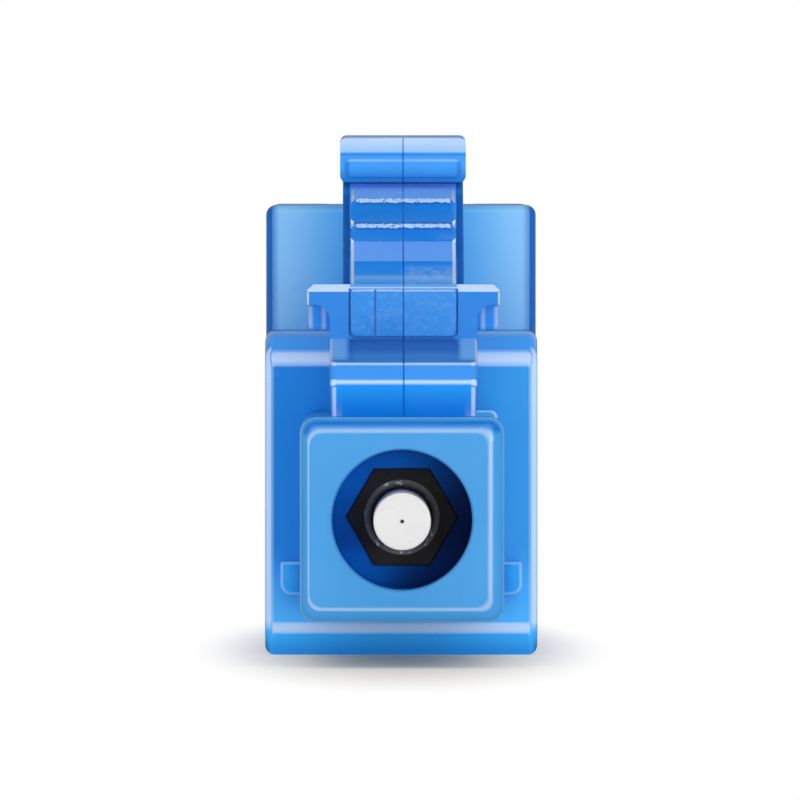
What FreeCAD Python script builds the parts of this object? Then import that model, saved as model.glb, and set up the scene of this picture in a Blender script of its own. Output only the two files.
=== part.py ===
import FreeCAD, Part
import os
import re
import Sketcher

# Fixed fibre optic attenuator with a plug in front and a socket behind, for 1.25 mm ferrules.
# Each piece is drawn with y = 0 at the nose's front face and z = 0 on the optical axis, apart from
# the latch arm, whose z = 0 is the top of the nose. Its placement then sets it in the part's frame:
# +Z up, the plug towards -Y, z = 0 on the resting face and y = 0 halfway along.

SIZES = (
    # The body housing
    ("body_width", "6.1"),
    ("body_length", "31.5"),
    ("axis_height", "3.25"),
    ("collar_length", "4.0"),
    ("collar_height", "7.25"),
    ("block_height", "10.07"),
    ("brow_rise", "0.535"),
    ("brow_run", "0.9"),
    ("chin_rise", "0.6"),
    ("chin_run", "0.51"),
    ("collar_round", "0.42"),
    ("body_edge_round", "0.24"),
    ("frame_clearance", "0.02"),
    # The socket for the next plug
    ("port_clearance", "0.08"),
    ("port_depth", "10.3"),
    ("port_top", "4.65"),
    ("ledge_depth", "2.6"),
    ("window_length", "4.0"),
    ("window_rise", "0.9"),
    ("notch_clearance", "0.12"),
    ("mouth_chamfer", "0.35"),
    # The plug frame
    ("nose_width", "4.45"),
    ("nose_length", "10.2"),
    ("nose_corner", "0.36"),
    ("nose_front_round", "0.28"),
    ("nose_bore_radius", "1.525"),
    ("nose_bore_depth", "3.0"),
    ("hex_wall", "0.8"),
    ("spring_bore_radius", "1.6"),
    ("side_lug_width", "0.48"),
    ("side_lug_height", "0.75"),
    ("side_lug_drop", "1.14"),
    ("lug_thickness", "0.4"),
    ("side_lug_round", "0.25"),
    ("key_lug_rise", "0.13"),
    ("key_lug_reach", "2.08"),
    # The latch's root, on the plug frame
    ("root_front", "2.2"),
    ("root_rise", "1.11"),
    ("root_chamfer", "0.38"),
    ("pivot_reach", "3.55"),
    ("pivot_rise", "0.69"),
    ("knuckle_radius", "0.45"),
    ("knuckle_clearance", "0.03"),
    # The latch arm
    ("arm_width", "3.25"),
    ("arm_thickness", "0.75"),
    ("catch_front", "5.4"),
    ("catch_foot_rise", "1.68"),
    ("catch_length", "1.9"),
    ("catch_rise", "2.84"),
    ("wing_width", "4.27"),
    ("wing_thickness", "0.44"),
    ("wing_head_length", "0.5"),
    ("wing_skirt_rise", "1.85"),
    ("wing_fillet", "0.28"),
    ("pad_width", "2.33"),
    ("pad_raise", "0.08"),
    ("pad_inset", "0.06"),
    ("tail_width", "2.7"),
    ("tail_thickness", "0.85"),
    ("tail_root_rise", "2.65"),
    ("tail_end_rise", "4.94"),
    ("bar_front", "11.2"),
    ("bar_length", "1.3"),
    ("bar_width", "2.82"),
    ("bar_bottom_rise", "5.07"),
    ("bar_height", "1.1"),
    ("bar_chamfer", "0.4"),
    ("step_width", "2.34"),
    ("step_height", "0.42"),
    ("step_lean", "0.1"),
    # The ferrule, its fibre and its flange
    ("ferrule_radius", "0.625"),
    ("ferrule_reach", "1.6"),
    ("ferrule_bevel", "0.12"),
    ("fibre_radius", "0.0625"),
    ("meeting_depth", "11.5"),
    ("anchor_depth", "0.165"),
    ("anchor_length", "0.9"),
    ("anchor_lead", "0.1"),
    ("hex_across", "2.11"),
    ("hex_proud", "0.15"),
    ("hex_clearance", "0.06"),
    ("flange_mouth_radius", "0.825"),
    ("flange_mouth_depth", "0.35"),
    ("shoulder_radius", "1.45"),
    ("shoulder_thickness", "0.7"),
    ("barrel_radius", "0.9"),
    ("barrel_length", "3.0"),
    # The spring and its stop
    ("wire_radius", "0.14"),
    ("coil_radius", "1.18"),
    ("coil_turns", "6"),
    ("spring_length", "6.0"),
    ("stop_bore_radius", "0.72"),
    ("stop_clearance", "0.02"),
    # The sleeve and its holder
    ("sleeve_length", "6.8"),
    ("sleeve_wall", "0.175"),
    ("sleeve_slit", "0.25"),
    ("sleeve_clearance", "0.015"),
    ("sleeve_end_play", "0.05"),
    ("holder_clearance", "0.03"),
    ("holder_wall", "0.61"),
    ("holder_root_radius", "1.75"),
    ("holder_flange_radius", "2.2"),
    ("holder_flange_thickness", "1.0"),
    ("holder_lip", "0.4"),
    ("holder_lip_radius", "0.72"),
    ("holder_mouth_bevel", "0.2"),
)
SIZE_NAMES = [name for name, value in SIZES]
STEP_COUNT = 3
WIRE_SIDES = 6
TINY = 0.001

# Distances from the nose's front face, as expressions of the sizes
BLOCK_FRONT = "(nose_length + collar_length)"
TAIL_END = "(body_length - meeting_depth - sleeve_length / 2 - sleeve_end_play)"
PORT_FLOOR = "(body_length - port_depth)"
HEX_FRONT = "(nose_bore_depth - hex_proud)"
SHOULDER_FRONT = "(nose_bore_depth + hex_wall)"
SHOULDER_BACK = "(nose_bore_depth + hex_wall + shoulder_thickness)"
SPRING_END = "(nose_bore_depth + hex_wall + shoulder_thickness + spring_length)"
ANCHOR_START = "(nose_bore_depth - hex_proud + anchor_lead)"
ANCHOR_END = "(nose_bore_depth - hex_proud + anchor_lead + anchor_length)"
MEETING_PLANE = "(body_length - meeting_depth)"
SEPTUM_FRONT = f"({TAIL_END} + holder_flange_thickness)"
CATCH_BACK = "(catch_front + catch_length)"
BAR_BACK = "(bar_front + bar_length)"

# Radii and heights that pieces share
NOSE_HALF = "(nose_width / 2)"
PORT_HALF = "(nose_width / 2 + port_clearance)"
SOCKET_HALF = "(nose_width / 2 + frame_clearance)"
ANCHOR_RADIUS = "(ferrule_radius - anchor_depth)"
SLEEVE_BORE = "(ferrule_radius + sleeve_clearance)"
SLEEVE_OUTSIDE = "(ferrule_radius + sleeve_clearance + sleeve_wall)"
HOLDER_BORE = "(ferrule_radius + sleeve_clearance + sleeve_wall + holder_clearance)"
HOLDER_OUTSIDE = (
    "(ferrule_radius + sleeve_clearance + sleeve_wall + holder_clearance + holder_wall)"
)
HOLDER_TIP = "(body_length - meeting_depth + sleeve_length / 2 + sleeve_end_play + holder_lip)"
ARM_SLOPE = "((catch_foot_rise - root_rise) / (catch_front - root_front - root_chamfer))"
ARM_TOP_AT_PIVOT = (
    f"(root_rise + (pivot_reach - root_front - root_chamfer) * {ARM_SLOPE})"
)
TAIL_SLOPE = f"((tail_end_rise - tail_root_rise) / (bar_front - {CATCH_BACK}))"

doc = FreeCAD.newDocument("attenuator")
sheet = doc.addObject("Spreadsheet::Sheet", "Sizes")
for row, (name, value) in enumerate(SIZES, 1):
    sheet.set(f"A{row}", name)
    sheet.set(f"B{row}", value)
    sheet.setAlias(f"B{row}", name)
doc.recompute()


def cells(expression):
    """The expression with every size written as a cell of the sheet."""
    def cell(found):
        word = found.group(0)
        return f"Sizes.{word}" if word in SIZE_NAMES else word
    return re.sub(r"[a-z][a-z_]+", cell, expression)


def number(expression):
    """The present value of an expression of the sizes."""
    return float(sheet.evalExpression(cells(expression)))


def bind(thing, prop, expression):
    """Ties a property of a document object to the sizes."""
    thing.setExpression(prop, cells(expression))


def new_body(label, rise="axis_height"):
    """An empty sub-part whose drawing origin is put at the nose's front, at a height."""
    body = doc.addObject("PartDesign::Body", label)
    body.Label = label
    bind(body, "Placement.Base.y", "(ferrule_reach - body_length) / 2")
    bind(body, "Placement.Base.z", rise)
    return body


def new_sketch(body, role, name, reach="0"):
    """A sketch on an origin plane: YZ_Plane for side outlines, XZ_Plane at a reach for sections."""
    plane = next(item for item in body.Origin.OriginFeatures if item.Role == role)
    sketch = body.newObject("Sketcher::SketchObject", f"{body.Name}_{name}")
    sketch.AttachmentSupport = [(plane, "")]
    sketch.MapMode = "FlatFace"
    if role == "XZ_Plane":
        bind(sketch, "AttachmentOffset.Base.z", f"-({reach})")
    return sketch


def outline(sketch, corners):
    """Adds a closed outline of straight sides whose corners are pairs of expressions."""
    first = sketch.GeometryCount
    spots = [FreeCAD.Vector(number(across), number(up), 0) for across, up in corners]
    for index, spot in enumerate(spots):
        sketch.addGeometry(Part.LineSegment(spot, spots[(index + 1) % len(spots)]), False)
    for index, (across, up) in enumerate(corners):
        after = first + (index + 1) % len(corners)
        sketch.addConstraint(Sketcher.Constraint("Coincident", first + index, 2, after, 1))
        for kind, expression in (("DistanceX", across), ("DistanceY", up)):
            value = number(expression)
            place = sketch.addConstraint(
                Sketcher.Constraint(kind, -1, 1, first + index, 1, value)
            )
            bind(sketch, f"Constraints[{place}]", expression)
    return sketch


def rectangle(sketch, left, right, low, high):
    """Adds an upright rectangle between four expressions."""
    return outline(sketch, [(left, low), (right, low), (right, high), (left, high)])


def circle(sketch, across, up, radius):
    """Adds a circle about a point."""
    middle = FreeCAD.Vector(number(across), number(up), 0)
    ring = sketch.addGeometry(
        Part.Circle(middle, FreeCAD.Vector(0, 0, 1), number(radius)), False
    )
    for kind, expression in (("DistanceX", across), ("DistanceY", up)):
        place = sketch.addConstraint(
            Sketcher.Constraint(kind, -1, 1, ring, 3, number(expression))
        )
        bind(sketch, f"Constraints[{place}]", expression)
    place = sketch.addConstraint(Sketcher.Constraint("Radius", ring, number(radius)))
    bind(sketch, f"Constraints[{place}]", radius)
    return sketch


def feature(body, kind, sketch, name):
    """A feature of a body made from a sketch."""
    made = body.newObject(f"PartDesign::{kind}", f"{body.Name}_{name}")
    made.Profile = sketch
    return made


def pad_across(body, sketch, name, width):
    """Pads a side outline evenly to both sides of the middle plane."""
    made = feature(body, "Pad", sketch, name)
    made.SideType = "Symmetric"
    bind(made, "Length", width)
    return made


def pad_back(body, sketch, name, length):
    """Pads a section towards the socket end."""
    made = feature(body, "Pad", sketch, name)
    made.Reversed = True
    bind(made, "Length", length)
    return made


def cut(body, sketch, name, length, across=False):
    """Pockets a section towards the socket end, or a side outline across the middle plane."""
    doc.recompute()
    before = body.Shape.Volume
    made = feature(body, "Pocket", sketch, name)
    if across:
        made.SideType = "Symmetric"
    bind(made, "Length", length)
    doc.recompute()
    if body.Shape.Volume >= before:
        raise RuntimeError(f"{made.Name} cuts nothing")
    return made


def turn(body, sketch, name):
    """Revolves a side outline about the optical axis."""
    made = feature(body, "Revolution", sketch, name)
    made.ReferenceAxis = (sketch, ["H_Axis"])
    made.Angle = 360
    return made


def dress(body, kind, name, size, wanted):
    """Rounds or chamfers the edges of the body's last feature that a test picks out."""
    doc.recompute()
    base = body.Tip
    edges = [
        f"Edge{index}" for index, edge in enumerate(base.Shape.Edges, 1) if wanted(edge)
    ]
    if not edges:
        raise RuntimeError(f"{body.Name} has no edge for {name}")
    made = body.newObject(f"PartDesign::{kind}", f"{body.Name}_{name}")
    made.Base = (base, edges)
    bind(made, "Radius" if kind == "Fillet" else "Size", size)
    doc.recompute()
    return made


def runs_along(edge, axis):
    """Whether an edge is straight and parallel to x, y or z."""
    box = edge.BoundBox
    spans = {"x": box.XLength, "y": box.YLength, "z": box.ZLength}
    others = [length for name, length in spans.items() if name != axis]
    return spans[axis] > max(others) + TINY and max(others) < TINY


def lies_at(edge, **places):
    """Whether the whole edge lies at the given x, y or z."""
    box = edge.BoundBox
    spans = {"x": (box.XMin, box.XMax), "y": (box.YMin, box.YMax), "z": (box.ZMin, box.ZMax)}
    return all(
        abs(end - place) < TINY for name, place in places.items() for end in spans[name]
    )


def make_body_housing():
    """One blue moulding: a low collar in front, a tall block behind, and the socket in its back."""
    body = new_body("body_housing")
    side = new_sketch(body, "YZ_Plane", "side")
    bottom = "-axis_height"
    collar_top = "collar_height - axis_height"
    block_top = "block_height - axis_height"
    chin = f"({bottom} + chin_rise)"
    brow = f"({collar_top} - brow_rise)"
    outline(side, [
        ("nose_length + chin_run", bottom),
        ("body_length", bottom),
        ("body_length", block_top),
        (BLOCK_FRONT, block_top),
        (BLOCK_FRONT, collar_top),
        ("nose_length + brow_run", collar_top),
        ("nose_length", brow),
        ("nose_length", chin),
    ])
    pad_across(body, side, "block", "body_width")
    front = number("nose_length")
    face_ends = [number(chin), number(brow)]
    dress(body, "Fillet", "collar_round", "collar_round", lambda edge: runs_along(edge, "x")
          and any(lies_at(edge, y=front, z=height) for height in face_ends))
    half = number("body_width / 2")
    back = number("body_length")
    top = number(block_top)
    step = number(BLOCK_FRONT)

    def is_outer(edge):
        on_side = lies_at(edge, x=half) or lies_at(edge, x=-half)
        ends = lies_at(edge, y=step, z=top) or lies_at(edge, y=back, z=top)
        return on_side or ends or lies_at(edge, y=back, z=number(bottom))

    dress(body, "Fillet", "edges", "body_edge_round", is_outer)

    # The plug frame's tail and the holder's flange sit in a square socket behind the collar's face
    seat = new_sketch(body, "XZ_Plane", "seat", "nose_length")
    rectangle(seat, f"-{SOCKET_HALF}", SOCKET_HALF, f"-{SOCKET_HALF}", SOCKET_HALF)
    cut(body, seat, "seat_cut", f"{SEPTUM_FRONT} - nose_length")
    through = new_sketch(body, "XZ_Plane", "through", "nose_length")
    circle(through, "0", "0", "holder_root_radius + holder_clearance")
    cut(body, through, "through_cut", "body_length - nose_length")

    # The socket: a square well with headroom for the latch, a window behind each ledge for its
    # wings, and a notch through the top of the mouth for its arm
    well = new_sketch(body, "XZ_Plane", "well", PORT_FLOOR)
    rectangle(well, f"-{PORT_HALF}", PORT_HALF, f"-{PORT_HALF}", "port_top")
    cut(body, well, "well_cut", "port_depth")
    window = new_sketch(body, "XZ_Plane", "window", "body_length - ledge_depth - window_length")
    rectangle(window, f"-{PORT_HALF}", PORT_HALF, NOSE_HALF, "port_top + window_rise")
    cut(body, window, "window_cut", "window_length")
    notch = new_sketch(body, "XZ_Plane", "notch", "body_length - ledge_depth")
    notch_half = "(arm_width / 2 + notch_clearance)"
    rectangle(notch, f"-{notch_half}", notch_half, NOSE_HALF, f"{block_top} + body_edge_round")
    cut(body, notch, "notch_cut", "ledge_depth")
    port_half = number(PORT_HALF)

    def is_mouth(edge):
        on_rim = lies_at(edge, y=back, z=-port_half)
        return on_rim or lies_at(edge, y=back, x=port_half) or lies_at(edge, y=back, x=-port_half)

    dress(body, "Chamfer", "mouth", "mouth_chamfer", is_mouth)
    return body


def make_plug_frame():
    """The square nose with its stepped bore, its lugs, the latch's root, and a tail in the body."""
    body = new_body("plug_frame")
    section = new_sketch(body, "XZ_Plane", "section")
    rectangle(section, f"-{NOSE_HALF}", NOSE_HALF, f"-{NOSE_HALF}", NOSE_HALF)
    pad_back(body, section, "nose", TAIL_END)
    dress(body, "Fillet", "corners", "nose_corner", lambda edge: runs_along(edge, "y"))
    dress(body, "Fillet", "front", "nose_front_round", lambda edge: lies_at(edge, y=0))

    # Two side lugs rest against the collar's face
    lug_plane = "nose_length - lug_thickness"
    lugs = new_sketch(body, "XZ_Plane", "side_lugs", lug_plane)
    low = "-(side_lug_drop + side_lug_height)"
    reach = f"({NOSE_HALF} + side_lug_width)"
    inside = f"({NOSE_HALF} - nose_corner)"
    rectangle(lugs, inside, reach, low, "-side_lug_drop")
    rectangle(lugs, f"-{reach}", f"-{inside}", low, "-side_lug_drop")
    pad_back(body, lugs, "side_lugs_pad", "lug_thickness")
    tip = number(reach)
    floor = number(low)
    dress(body, "Fillet", "side_lug_round", "side_lug_round", lambda edge: runs_along(edge, "y")
          and (lies_at(edge, x=tip, z=floor) or lies_at(edge, x=-tip, z=floor)))

    # A low key lug stands beside the latch's root
    key = new_sketch(body, "XZ_Plane", "key", "root_front")
    rectangle(key, "arm_width / 2 - nose_corner", "key_lug_reach", inside, f"{NOSE_HALF} + key_lug_rise")
    pad_back(body, key, "key_pad", "lug_thickness")

    # The latch's root stands on the nose and has a round seat for the arm's knuckle
    root = new_sketch(body, "YZ_Plane", "root")
    seam = "(pivot_reach - knuckle_clearance)"
    outline(root, [
        ("root_front", f"{NOSE_HALF} - nose_front_round"),
        (seam, f"{NOSE_HALF} - nose_front_round"),
        (seam, f"{NOSE_HALF} + {ARM_TOP_AT_PIVOT} - knuckle_clearance * {ARM_SLOPE}"),
        ("root_front + root_chamfer", f"{NOSE_HALF} + root_rise"),
        ("root_front", f"{NOSE_HALF} + root_rise - root_chamfer"),
    ])
    pad_across(body, root, "root_pad", "arm_width")
    seat = new_sketch(body, "YZ_Plane", "knuckle_seat")
    circle(seat, "pivot_reach", f"{NOSE_HALF} + pivot_rise", "knuckle_radius + knuckle_clearance")
    cut(body, seat, "knuckle_cut", "arm_width", across=True)

    # Inside: the open bore, the wall with the flange's hexagonal hole, and the spring's bore
    bore = new_sketch(body, "XZ_Plane", "bore")
    circle(bore, "0", "0", "nose_bore_radius")
    cut(body, bore, "bore_cut", "nose_bore_depth")
    hole = new_sketch(body, "XZ_Plane", "hex_hole", "nose_bore_depth")
    hexagon(hole, "hex_across + hex_clearance * 2")
    cut(body, hole, "hex_cut", "hex_wall")
    spring_bore = new_sketch(body, "XZ_Plane", "spring_bore", SHOULDER_FRONT)
    circle(spring_bore, "0", "0", "spring_bore_radius")
    cut(body, spring_bore, "spring_cut", f"{TAIL_END} - {SHOULDER_FRONT}")
    return body


def hexagon(sketch, across):
    """Adds a hexagon about the axis, with flats above and below."""
    corner = f"(({across}) / sqrt(3))"
    flat = f"(({across}) / 2)"
    return outline(sketch, [
        (corner, "0"),
        (f"{corner} / 2", flat),
        (f"-{corner} / 2", flat),
        (f"-{corner}", "0"),
        (f"-{corner} / 2", f"-{flat}"),
        (f"{corner} / 2", f"-{flat}"),
    ])


def make_latch_arm():
    """The sprung arm: a knuckle at its root, a catch with two wings, and a stepped tail with a bar."""
    body = new_body("latch_arm", f"axis_height + {NOSE_HALF}")
    knuckle = new_sketch(body, "YZ_Plane", "knuckle")
    circle(knuckle, "pivot_reach", "pivot_rise", "knuckle_radius")
    pad_across(body, knuckle, "knuckle_pad", "arm_width")
    arm = new_sketch(body, "YZ_Plane", "arm")
    catch_under = f"({ARM_TOP_AT_PIVOT} + ({CATCH_BACK} - pivot_reach) * {ARM_SLOPE} - arm_thickness)"
    outline(arm, [
        ("pivot_reach", ARM_TOP_AT_PIVOT),
        ("pivot_reach", "pivot_rise"),
        ("pivot_reach + knuckle_radius / 2", "pivot_rise"),
        ("catch_front", "catch_foot_rise - arm_thickness"),
        (CATCH_BACK, catch_under),
        (CATCH_BACK, "catch_rise"),
        ("catch_front", "catch_rise"),
        ("catch_front", "catch_foot_rise"),
    ])
    pad_across(body, arm, "arm_pad", "arm_width")

    # The wings: a thin head in front, and behind it the deeper blocks that lock behind the ledges
    wings = new_sketch(body, "YZ_Plane", "wings")
    head_back = "(catch_front + wing_head_length)"
    head_under = "(catch_rise - wing_thickness)"
    outline(wings, [
        ("catch_front", head_under),
        (head_back, head_under),
        (head_back, "wing_skirt_rise"),
        (CATCH_BACK, "wing_skirt_rise"),
        (CATCH_BACK, "catch_rise"),
        ("catch_front", "catch_rise"),
    ])
    pad_across(body, wings, "wings_pad", "wing_width")
    side = number("arm_width / 2")
    under = number(head_under)
    dress(body, "Fillet", "wing_fillet", "wing_fillet", lambda edge: runs_along(edge, "y")
          and (lies_at(edge, x=side, z=under) or lies_at(edge, x=-side, z=under)))
    pad = new_sketch(body, "XZ_Plane", "pad", "catch_front - pad_raise")
    rectangle(pad, "-pad_width / 2", "pad_width / 2", "catch_foot_rise + pad_inset",
              "catch_rise - pad_inset")
    pad_back(body, pad, "pad_raise", "pad_raise")

    # The tail climbs from the catch to the thumb bar and carries grip steps on its back
    tail = new_sketch(body, "YZ_Plane", "tail")
    inner = f"({CATCH_BACK} - catch_length / 3)"
    inner_top = f"(tail_root_rise - catch_length / 3 * {TAIL_SLOPE})"
    end_top = f"(tail_end_rise + bar_length * {TAIL_SLOPE})"
    outline(tail, [
        (inner, f"{inner_top} - tail_thickness"),
        (BAR_BACK, f"{end_top} - tail_thickness"),
        (BAR_BACK, end_top),
        (inner, inner_top),
    ])
    pad_across(body, tail, "tail_pad", "tail_width")
    steps = new_sketch(body, "YZ_Plane", "steps")
    pitch = f"((bar_front - {CATCH_BACK}) / {STEP_COUNT})"
    steps_front = f"({CATCH_BACK} - catch_length / 2)"
    corners = [(steps_front, "catch_rise")]
    for index in range(STEP_COUNT):
        riser = f"({CATCH_BACK} + {pitch} * {index} + {pitch} / 3)"
        crest = f"(tail_root_rise + ({pitch} * {index} + {pitch} / 3) * {TAIL_SLOPE} + step_height)"
        corners.append((f"{riser} - step_lean", corners[-1][1]))
        corners.append((riser, crest))
    middle = "(bar_front + bar_length / 2)"
    corners.append((middle, corners[-1][1]))
    corners.append((middle, f"tail_end_rise + bar_length / 2 * {TAIL_SLOPE} - tail_thickness / 2"))
    corners.append((steps_front,
                    f"tail_root_rise - catch_length / 2 * {TAIL_SLOPE} - tail_thickness / 2"))
    outline(steps, corners)
    pad_across(body, steps, "steps_pad", "step_width")
    bar = new_sketch(body, "YZ_Plane", "bar")
    bar_top = "(bar_bottom_rise + bar_height)"
    outline(bar, [
        ("bar_front", "bar_bottom_rise"),
        (BAR_BACK, "bar_bottom_rise"),
        (BAR_BACK, bar_top),
        ("bar_front + bar_chamfer", bar_top),
        ("bar_front", f"{bar_top} - bar_chamfer"),
    ])
    pad_across(body, bar, "bar_pad", "bar_width")
    return body


def make_ferrule():
    """A zirconia rod with a fine bore, a bevelled tip and a groove that anchors the flange."""
    body = new_body("ferrule")
    side = new_sketch(body, "YZ_Plane", "side")
    outline(side, [
        ("-ferrule_reach", "fibre_radius"),
        ("-ferrule_reach", "ferrule_radius - ferrule_bevel"),
        ("ferrule_bevel - ferrule_reach", "ferrule_radius"),
        (ANCHOR_START, "ferrule_radius"),
        (ANCHOR_START, ANCHOR_RADIUS),
        (ANCHOR_END, ANCHOR_RADIUS),
        (ANCHOR_END, "ferrule_radius"),
        (f"{MEETING_PLANE} - ferrule_bevel", "ferrule_radius"),
        (MEETING_PLANE, "ferrule_radius - ferrule_bevel"),
        (MEETING_PLANE, "fibre_radius"),
    ])
    turn(body, side, "rod")
    return body


def make_doped_fibre():
    """The attenuating fibre, polished flush with both ends of the ferrule."""
    body = new_body("doped_fibre")
    section = new_sketch(body, "XZ_Plane", "section", "-ferrule_reach")
    circle(section, "0", "0", "fibre_radius")
    pad_back(body, section, "strand", f"{MEETING_PLANE} + ferrule_reach")
    return body


def make_ferrule_flange():
    """The black flange moulded round the ferrule: hexagonal head, thrust shoulder and barrel."""
    body = new_body("ferrule_flange")
    side = new_sketch(body, "YZ_Plane", "side")
    barrel_end = f"({SHOULDER_BACK} + barrel_length)"
    outline(side, [
        (ANCHOR_END, "ferrule_radius"),
        (barrel_end, "ferrule_radius"),
        (barrel_end, "barrel_radius"),
        (SHOULDER_BACK, "barrel_radius"),
        (SHOULDER_BACK, "shoulder_radius"),
        (SHOULDER_FRONT, "shoulder_radius"),
        (SHOULDER_FRONT, ANCHOR_RADIUS),
        (ANCHOR_END, ANCHOR_RADIUS),
    ])
    turn(body, side, "barrel")
    head = new_sketch(body, "XZ_Plane", "head", HEX_FRONT)
    hexagon(head, "hex_across")
    circle(head, "0", "0", ANCHOR_RADIUS)
    pad_back(body, head, "head_pad", f"{SHOULDER_FRONT} - {HEX_FRONT}")
    mouth = new_sketch(body, "XZ_Plane", "mouth", HEX_FRONT)
    circle(mouth, "0", "0", "flange_mouth_radius")
    cut(body, mouth, "mouth_cut", "flange_mouth_depth")
    return body


def make_float_spring():
    """An open coil that pushes the flange's shoulder forward from the stop."""
    body = new_body("float_spring")
    wire = new_sketch(body, "YZ_Plane", "wire")
    outline(wire, [
        (f"{SHOULDER_BACK} + wire_radius + wire_radius * cos({corner} * 360 / {WIRE_SIDES})",
         f"coil_radius + wire_radius * sin({corner} * 360 / {WIRE_SIDES})")
        for corner in range(WIRE_SIDES)
    ])
    coil = feature(body, "AdditiveHelix", wire, "coil")
    coil.ReferenceAxis = (wire, ["H_Axis"])
    coil.Mode = "height-turns-angle"
    bind(coil, "Height", "spring_length - wire_radius * 2")
    bind(coil, "Turns", "coil_turns")
    return body


def make_spring_stop():
    """The bush that closes the plug frame's tail, takes the spring's thrust and ends the sleeve."""
    body = new_body("spring_stop")
    section = new_sketch(body, "XZ_Plane", "section", SPRING_END)
    circle(section, "0", "0", "spring_bore_radius - stop_clearance")
    circle(section, "0", "0", "stop_bore_radius")
    pad_back(body, section, "bush", f"{TAIL_END} - {SPRING_END}")
    return body


def make_sleeve_holder():
    """A flanged tube through the septum, with a lip at its tip that keeps the sleeve in."""
    body = new_body("sleeve_holder")
    side = new_sketch(body, "YZ_Plane", "side")
    lip_start = f"({HOLDER_TIP} - holder_lip)"
    outline(side, [
        (TAIL_END, HOLDER_BORE),
        (lip_start, HOLDER_BORE),
        (lip_start, "holder_lip_radius"),
        (f"{HOLDER_TIP} - holder_mouth_bevel", "holder_lip_radius"),
        (HOLDER_TIP, "holder_lip_radius + holder_mouth_bevel"),
        (HOLDER_TIP, f"{HOLDER_OUTSIDE} - holder_mouth_bevel"),
        (f"{HOLDER_TIP} - holder_mouth_bevel", HOLDER_OUTSIDE),
        (PORT_FLOOR, HOLDER_OUTSIDE),
        (PORT_FLOOR, "holder_root_radius"),
        (SEPTUM_FRONT, "holder_root_radius"),
        (SEPTUM_FRONT, "holder_flange_radius"),
        (TAIL_END, "holder_flange_radius"),
    ])
    turn(body, side, "tube")
    return body


def make_split_sleeve():
    """A slit tube that grips both ferrules, centred on the plane where they meet."""
    body = new_body("split_sleeve")
    start = f"({MEETING_PLANE} - sleeve_length / 2)"
    section = new_sketch(body, "XZ_Plane", "section", start)
    circle(section, "0", "0", SLEEVE_OUTSIDE)
    circle(section, "0", "0", SLEEVE_BORE)
    pad_back(body, section, "tube", "sleeve_length")
    slit = new_sketch(body, "XZ_Plane", "slit", start)
    rectangle(slit, "-sleeve_slit / 2", "sleeve_slit / 2", "ferrule_radius / 2",
              f"{SLEEVE_OUTSIDE} + sleeve_wall")
    cut(body, slit, "slit_cut", "sleeve_length")
    return body


SUB_PARTS = [
    make_body_housing(),
    make_plug_frame(),
    make_latch_arm(),
    make_ferrule(),
    make_doped_fibre(),
    make_ferrule_flange(),
    make_float_spring(),
    make_spring_stop(),
    make_sleeve_holder(),
    make_split_sleeve(),
]
doc.recompute()
for item in doc.Objects:
    if "Invalid" in item.State or "Error" in item.State:
        raise RuntimeError(f"{item.Name} failed: {item.State}")
for body in SUB_PARTS:
    if body.Shape.isNull() or not body.Shape.isValid() or len(body.Shape.Solids) != 1:
        raise RuntimeError(f"{body.Label} is not one sound solid")
os.makedirs("parts", exist_ok=True)
for body in SUB_PARTS:
    body.Shape.exportStep(f"parts/{body.Label}.step")
    print(body.Label, round(body.Shape.Volume, 3), body.Shape.BoundBox)
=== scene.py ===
import math
import bmesh
import bpy
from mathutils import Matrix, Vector


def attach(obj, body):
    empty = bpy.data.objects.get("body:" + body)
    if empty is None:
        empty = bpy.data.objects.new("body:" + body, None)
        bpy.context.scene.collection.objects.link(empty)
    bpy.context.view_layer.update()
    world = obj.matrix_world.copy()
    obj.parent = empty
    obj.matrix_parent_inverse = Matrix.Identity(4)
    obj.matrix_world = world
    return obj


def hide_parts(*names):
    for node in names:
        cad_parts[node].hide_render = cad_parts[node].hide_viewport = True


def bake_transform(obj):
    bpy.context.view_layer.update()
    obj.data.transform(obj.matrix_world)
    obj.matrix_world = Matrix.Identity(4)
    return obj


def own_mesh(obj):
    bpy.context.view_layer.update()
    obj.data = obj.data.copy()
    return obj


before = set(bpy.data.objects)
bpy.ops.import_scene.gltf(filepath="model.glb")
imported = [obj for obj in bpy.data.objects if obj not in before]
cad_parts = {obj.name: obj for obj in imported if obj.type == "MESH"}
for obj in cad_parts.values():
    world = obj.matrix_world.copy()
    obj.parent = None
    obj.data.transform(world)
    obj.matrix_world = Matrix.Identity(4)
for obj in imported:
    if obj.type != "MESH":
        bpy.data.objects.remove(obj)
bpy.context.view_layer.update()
bpy.context.scene.view_settings.view_transform = "Standard"

# Body housing: the blue shell that everything else is pushed into, moulded in one shot.
# A low collar with a sloped brow and chin faces the plug end, and a tall block behind it
# holds the socket for the next plug, with a notch in its roof for that plug's latch.
MM = 0.001
AXIS_HEIGHT = 3.25
BODY_HALF = 3.05
BODY_BACK = 16.55
BLOCK_FRONT = -0.75
BLOCK_TOP = 10.07
COLLAR_FRONT = -4.75
COLLAR_TOP = 7.25
BROW_START = -3.85
BROW_END = 6.715
CHIN_START = -4.24
CHIN_END = 0.6
BROW_ROUND = 0.3
CHIN_ROUND = 0.18
SHELL_ROUND = 0.22
SEAT_HALF = 2.226
SEAT_CORNER = 0.36
SEAT_BACK = 2.6
PASSAGE_RADIUS = 1.78
PASSAGE_FRONT, PASSAGE_BACK = 0, 7
PORT_HALF = 2.305
PORT_CORNER = 0.15
PORT_FLOOR = 6.25
PORT_LOW = AXIS_HEIGHT - PORT_HALF
PORT_TOP = AXIS_HEIGHT + 4.65
WINDOW_FRONT, WINDOW_BACK = 9.95, 13.95
WINDOW_LOW = 5.56
WINDOW_TOP = AXIS_HEIGHT + 5.55
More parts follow.
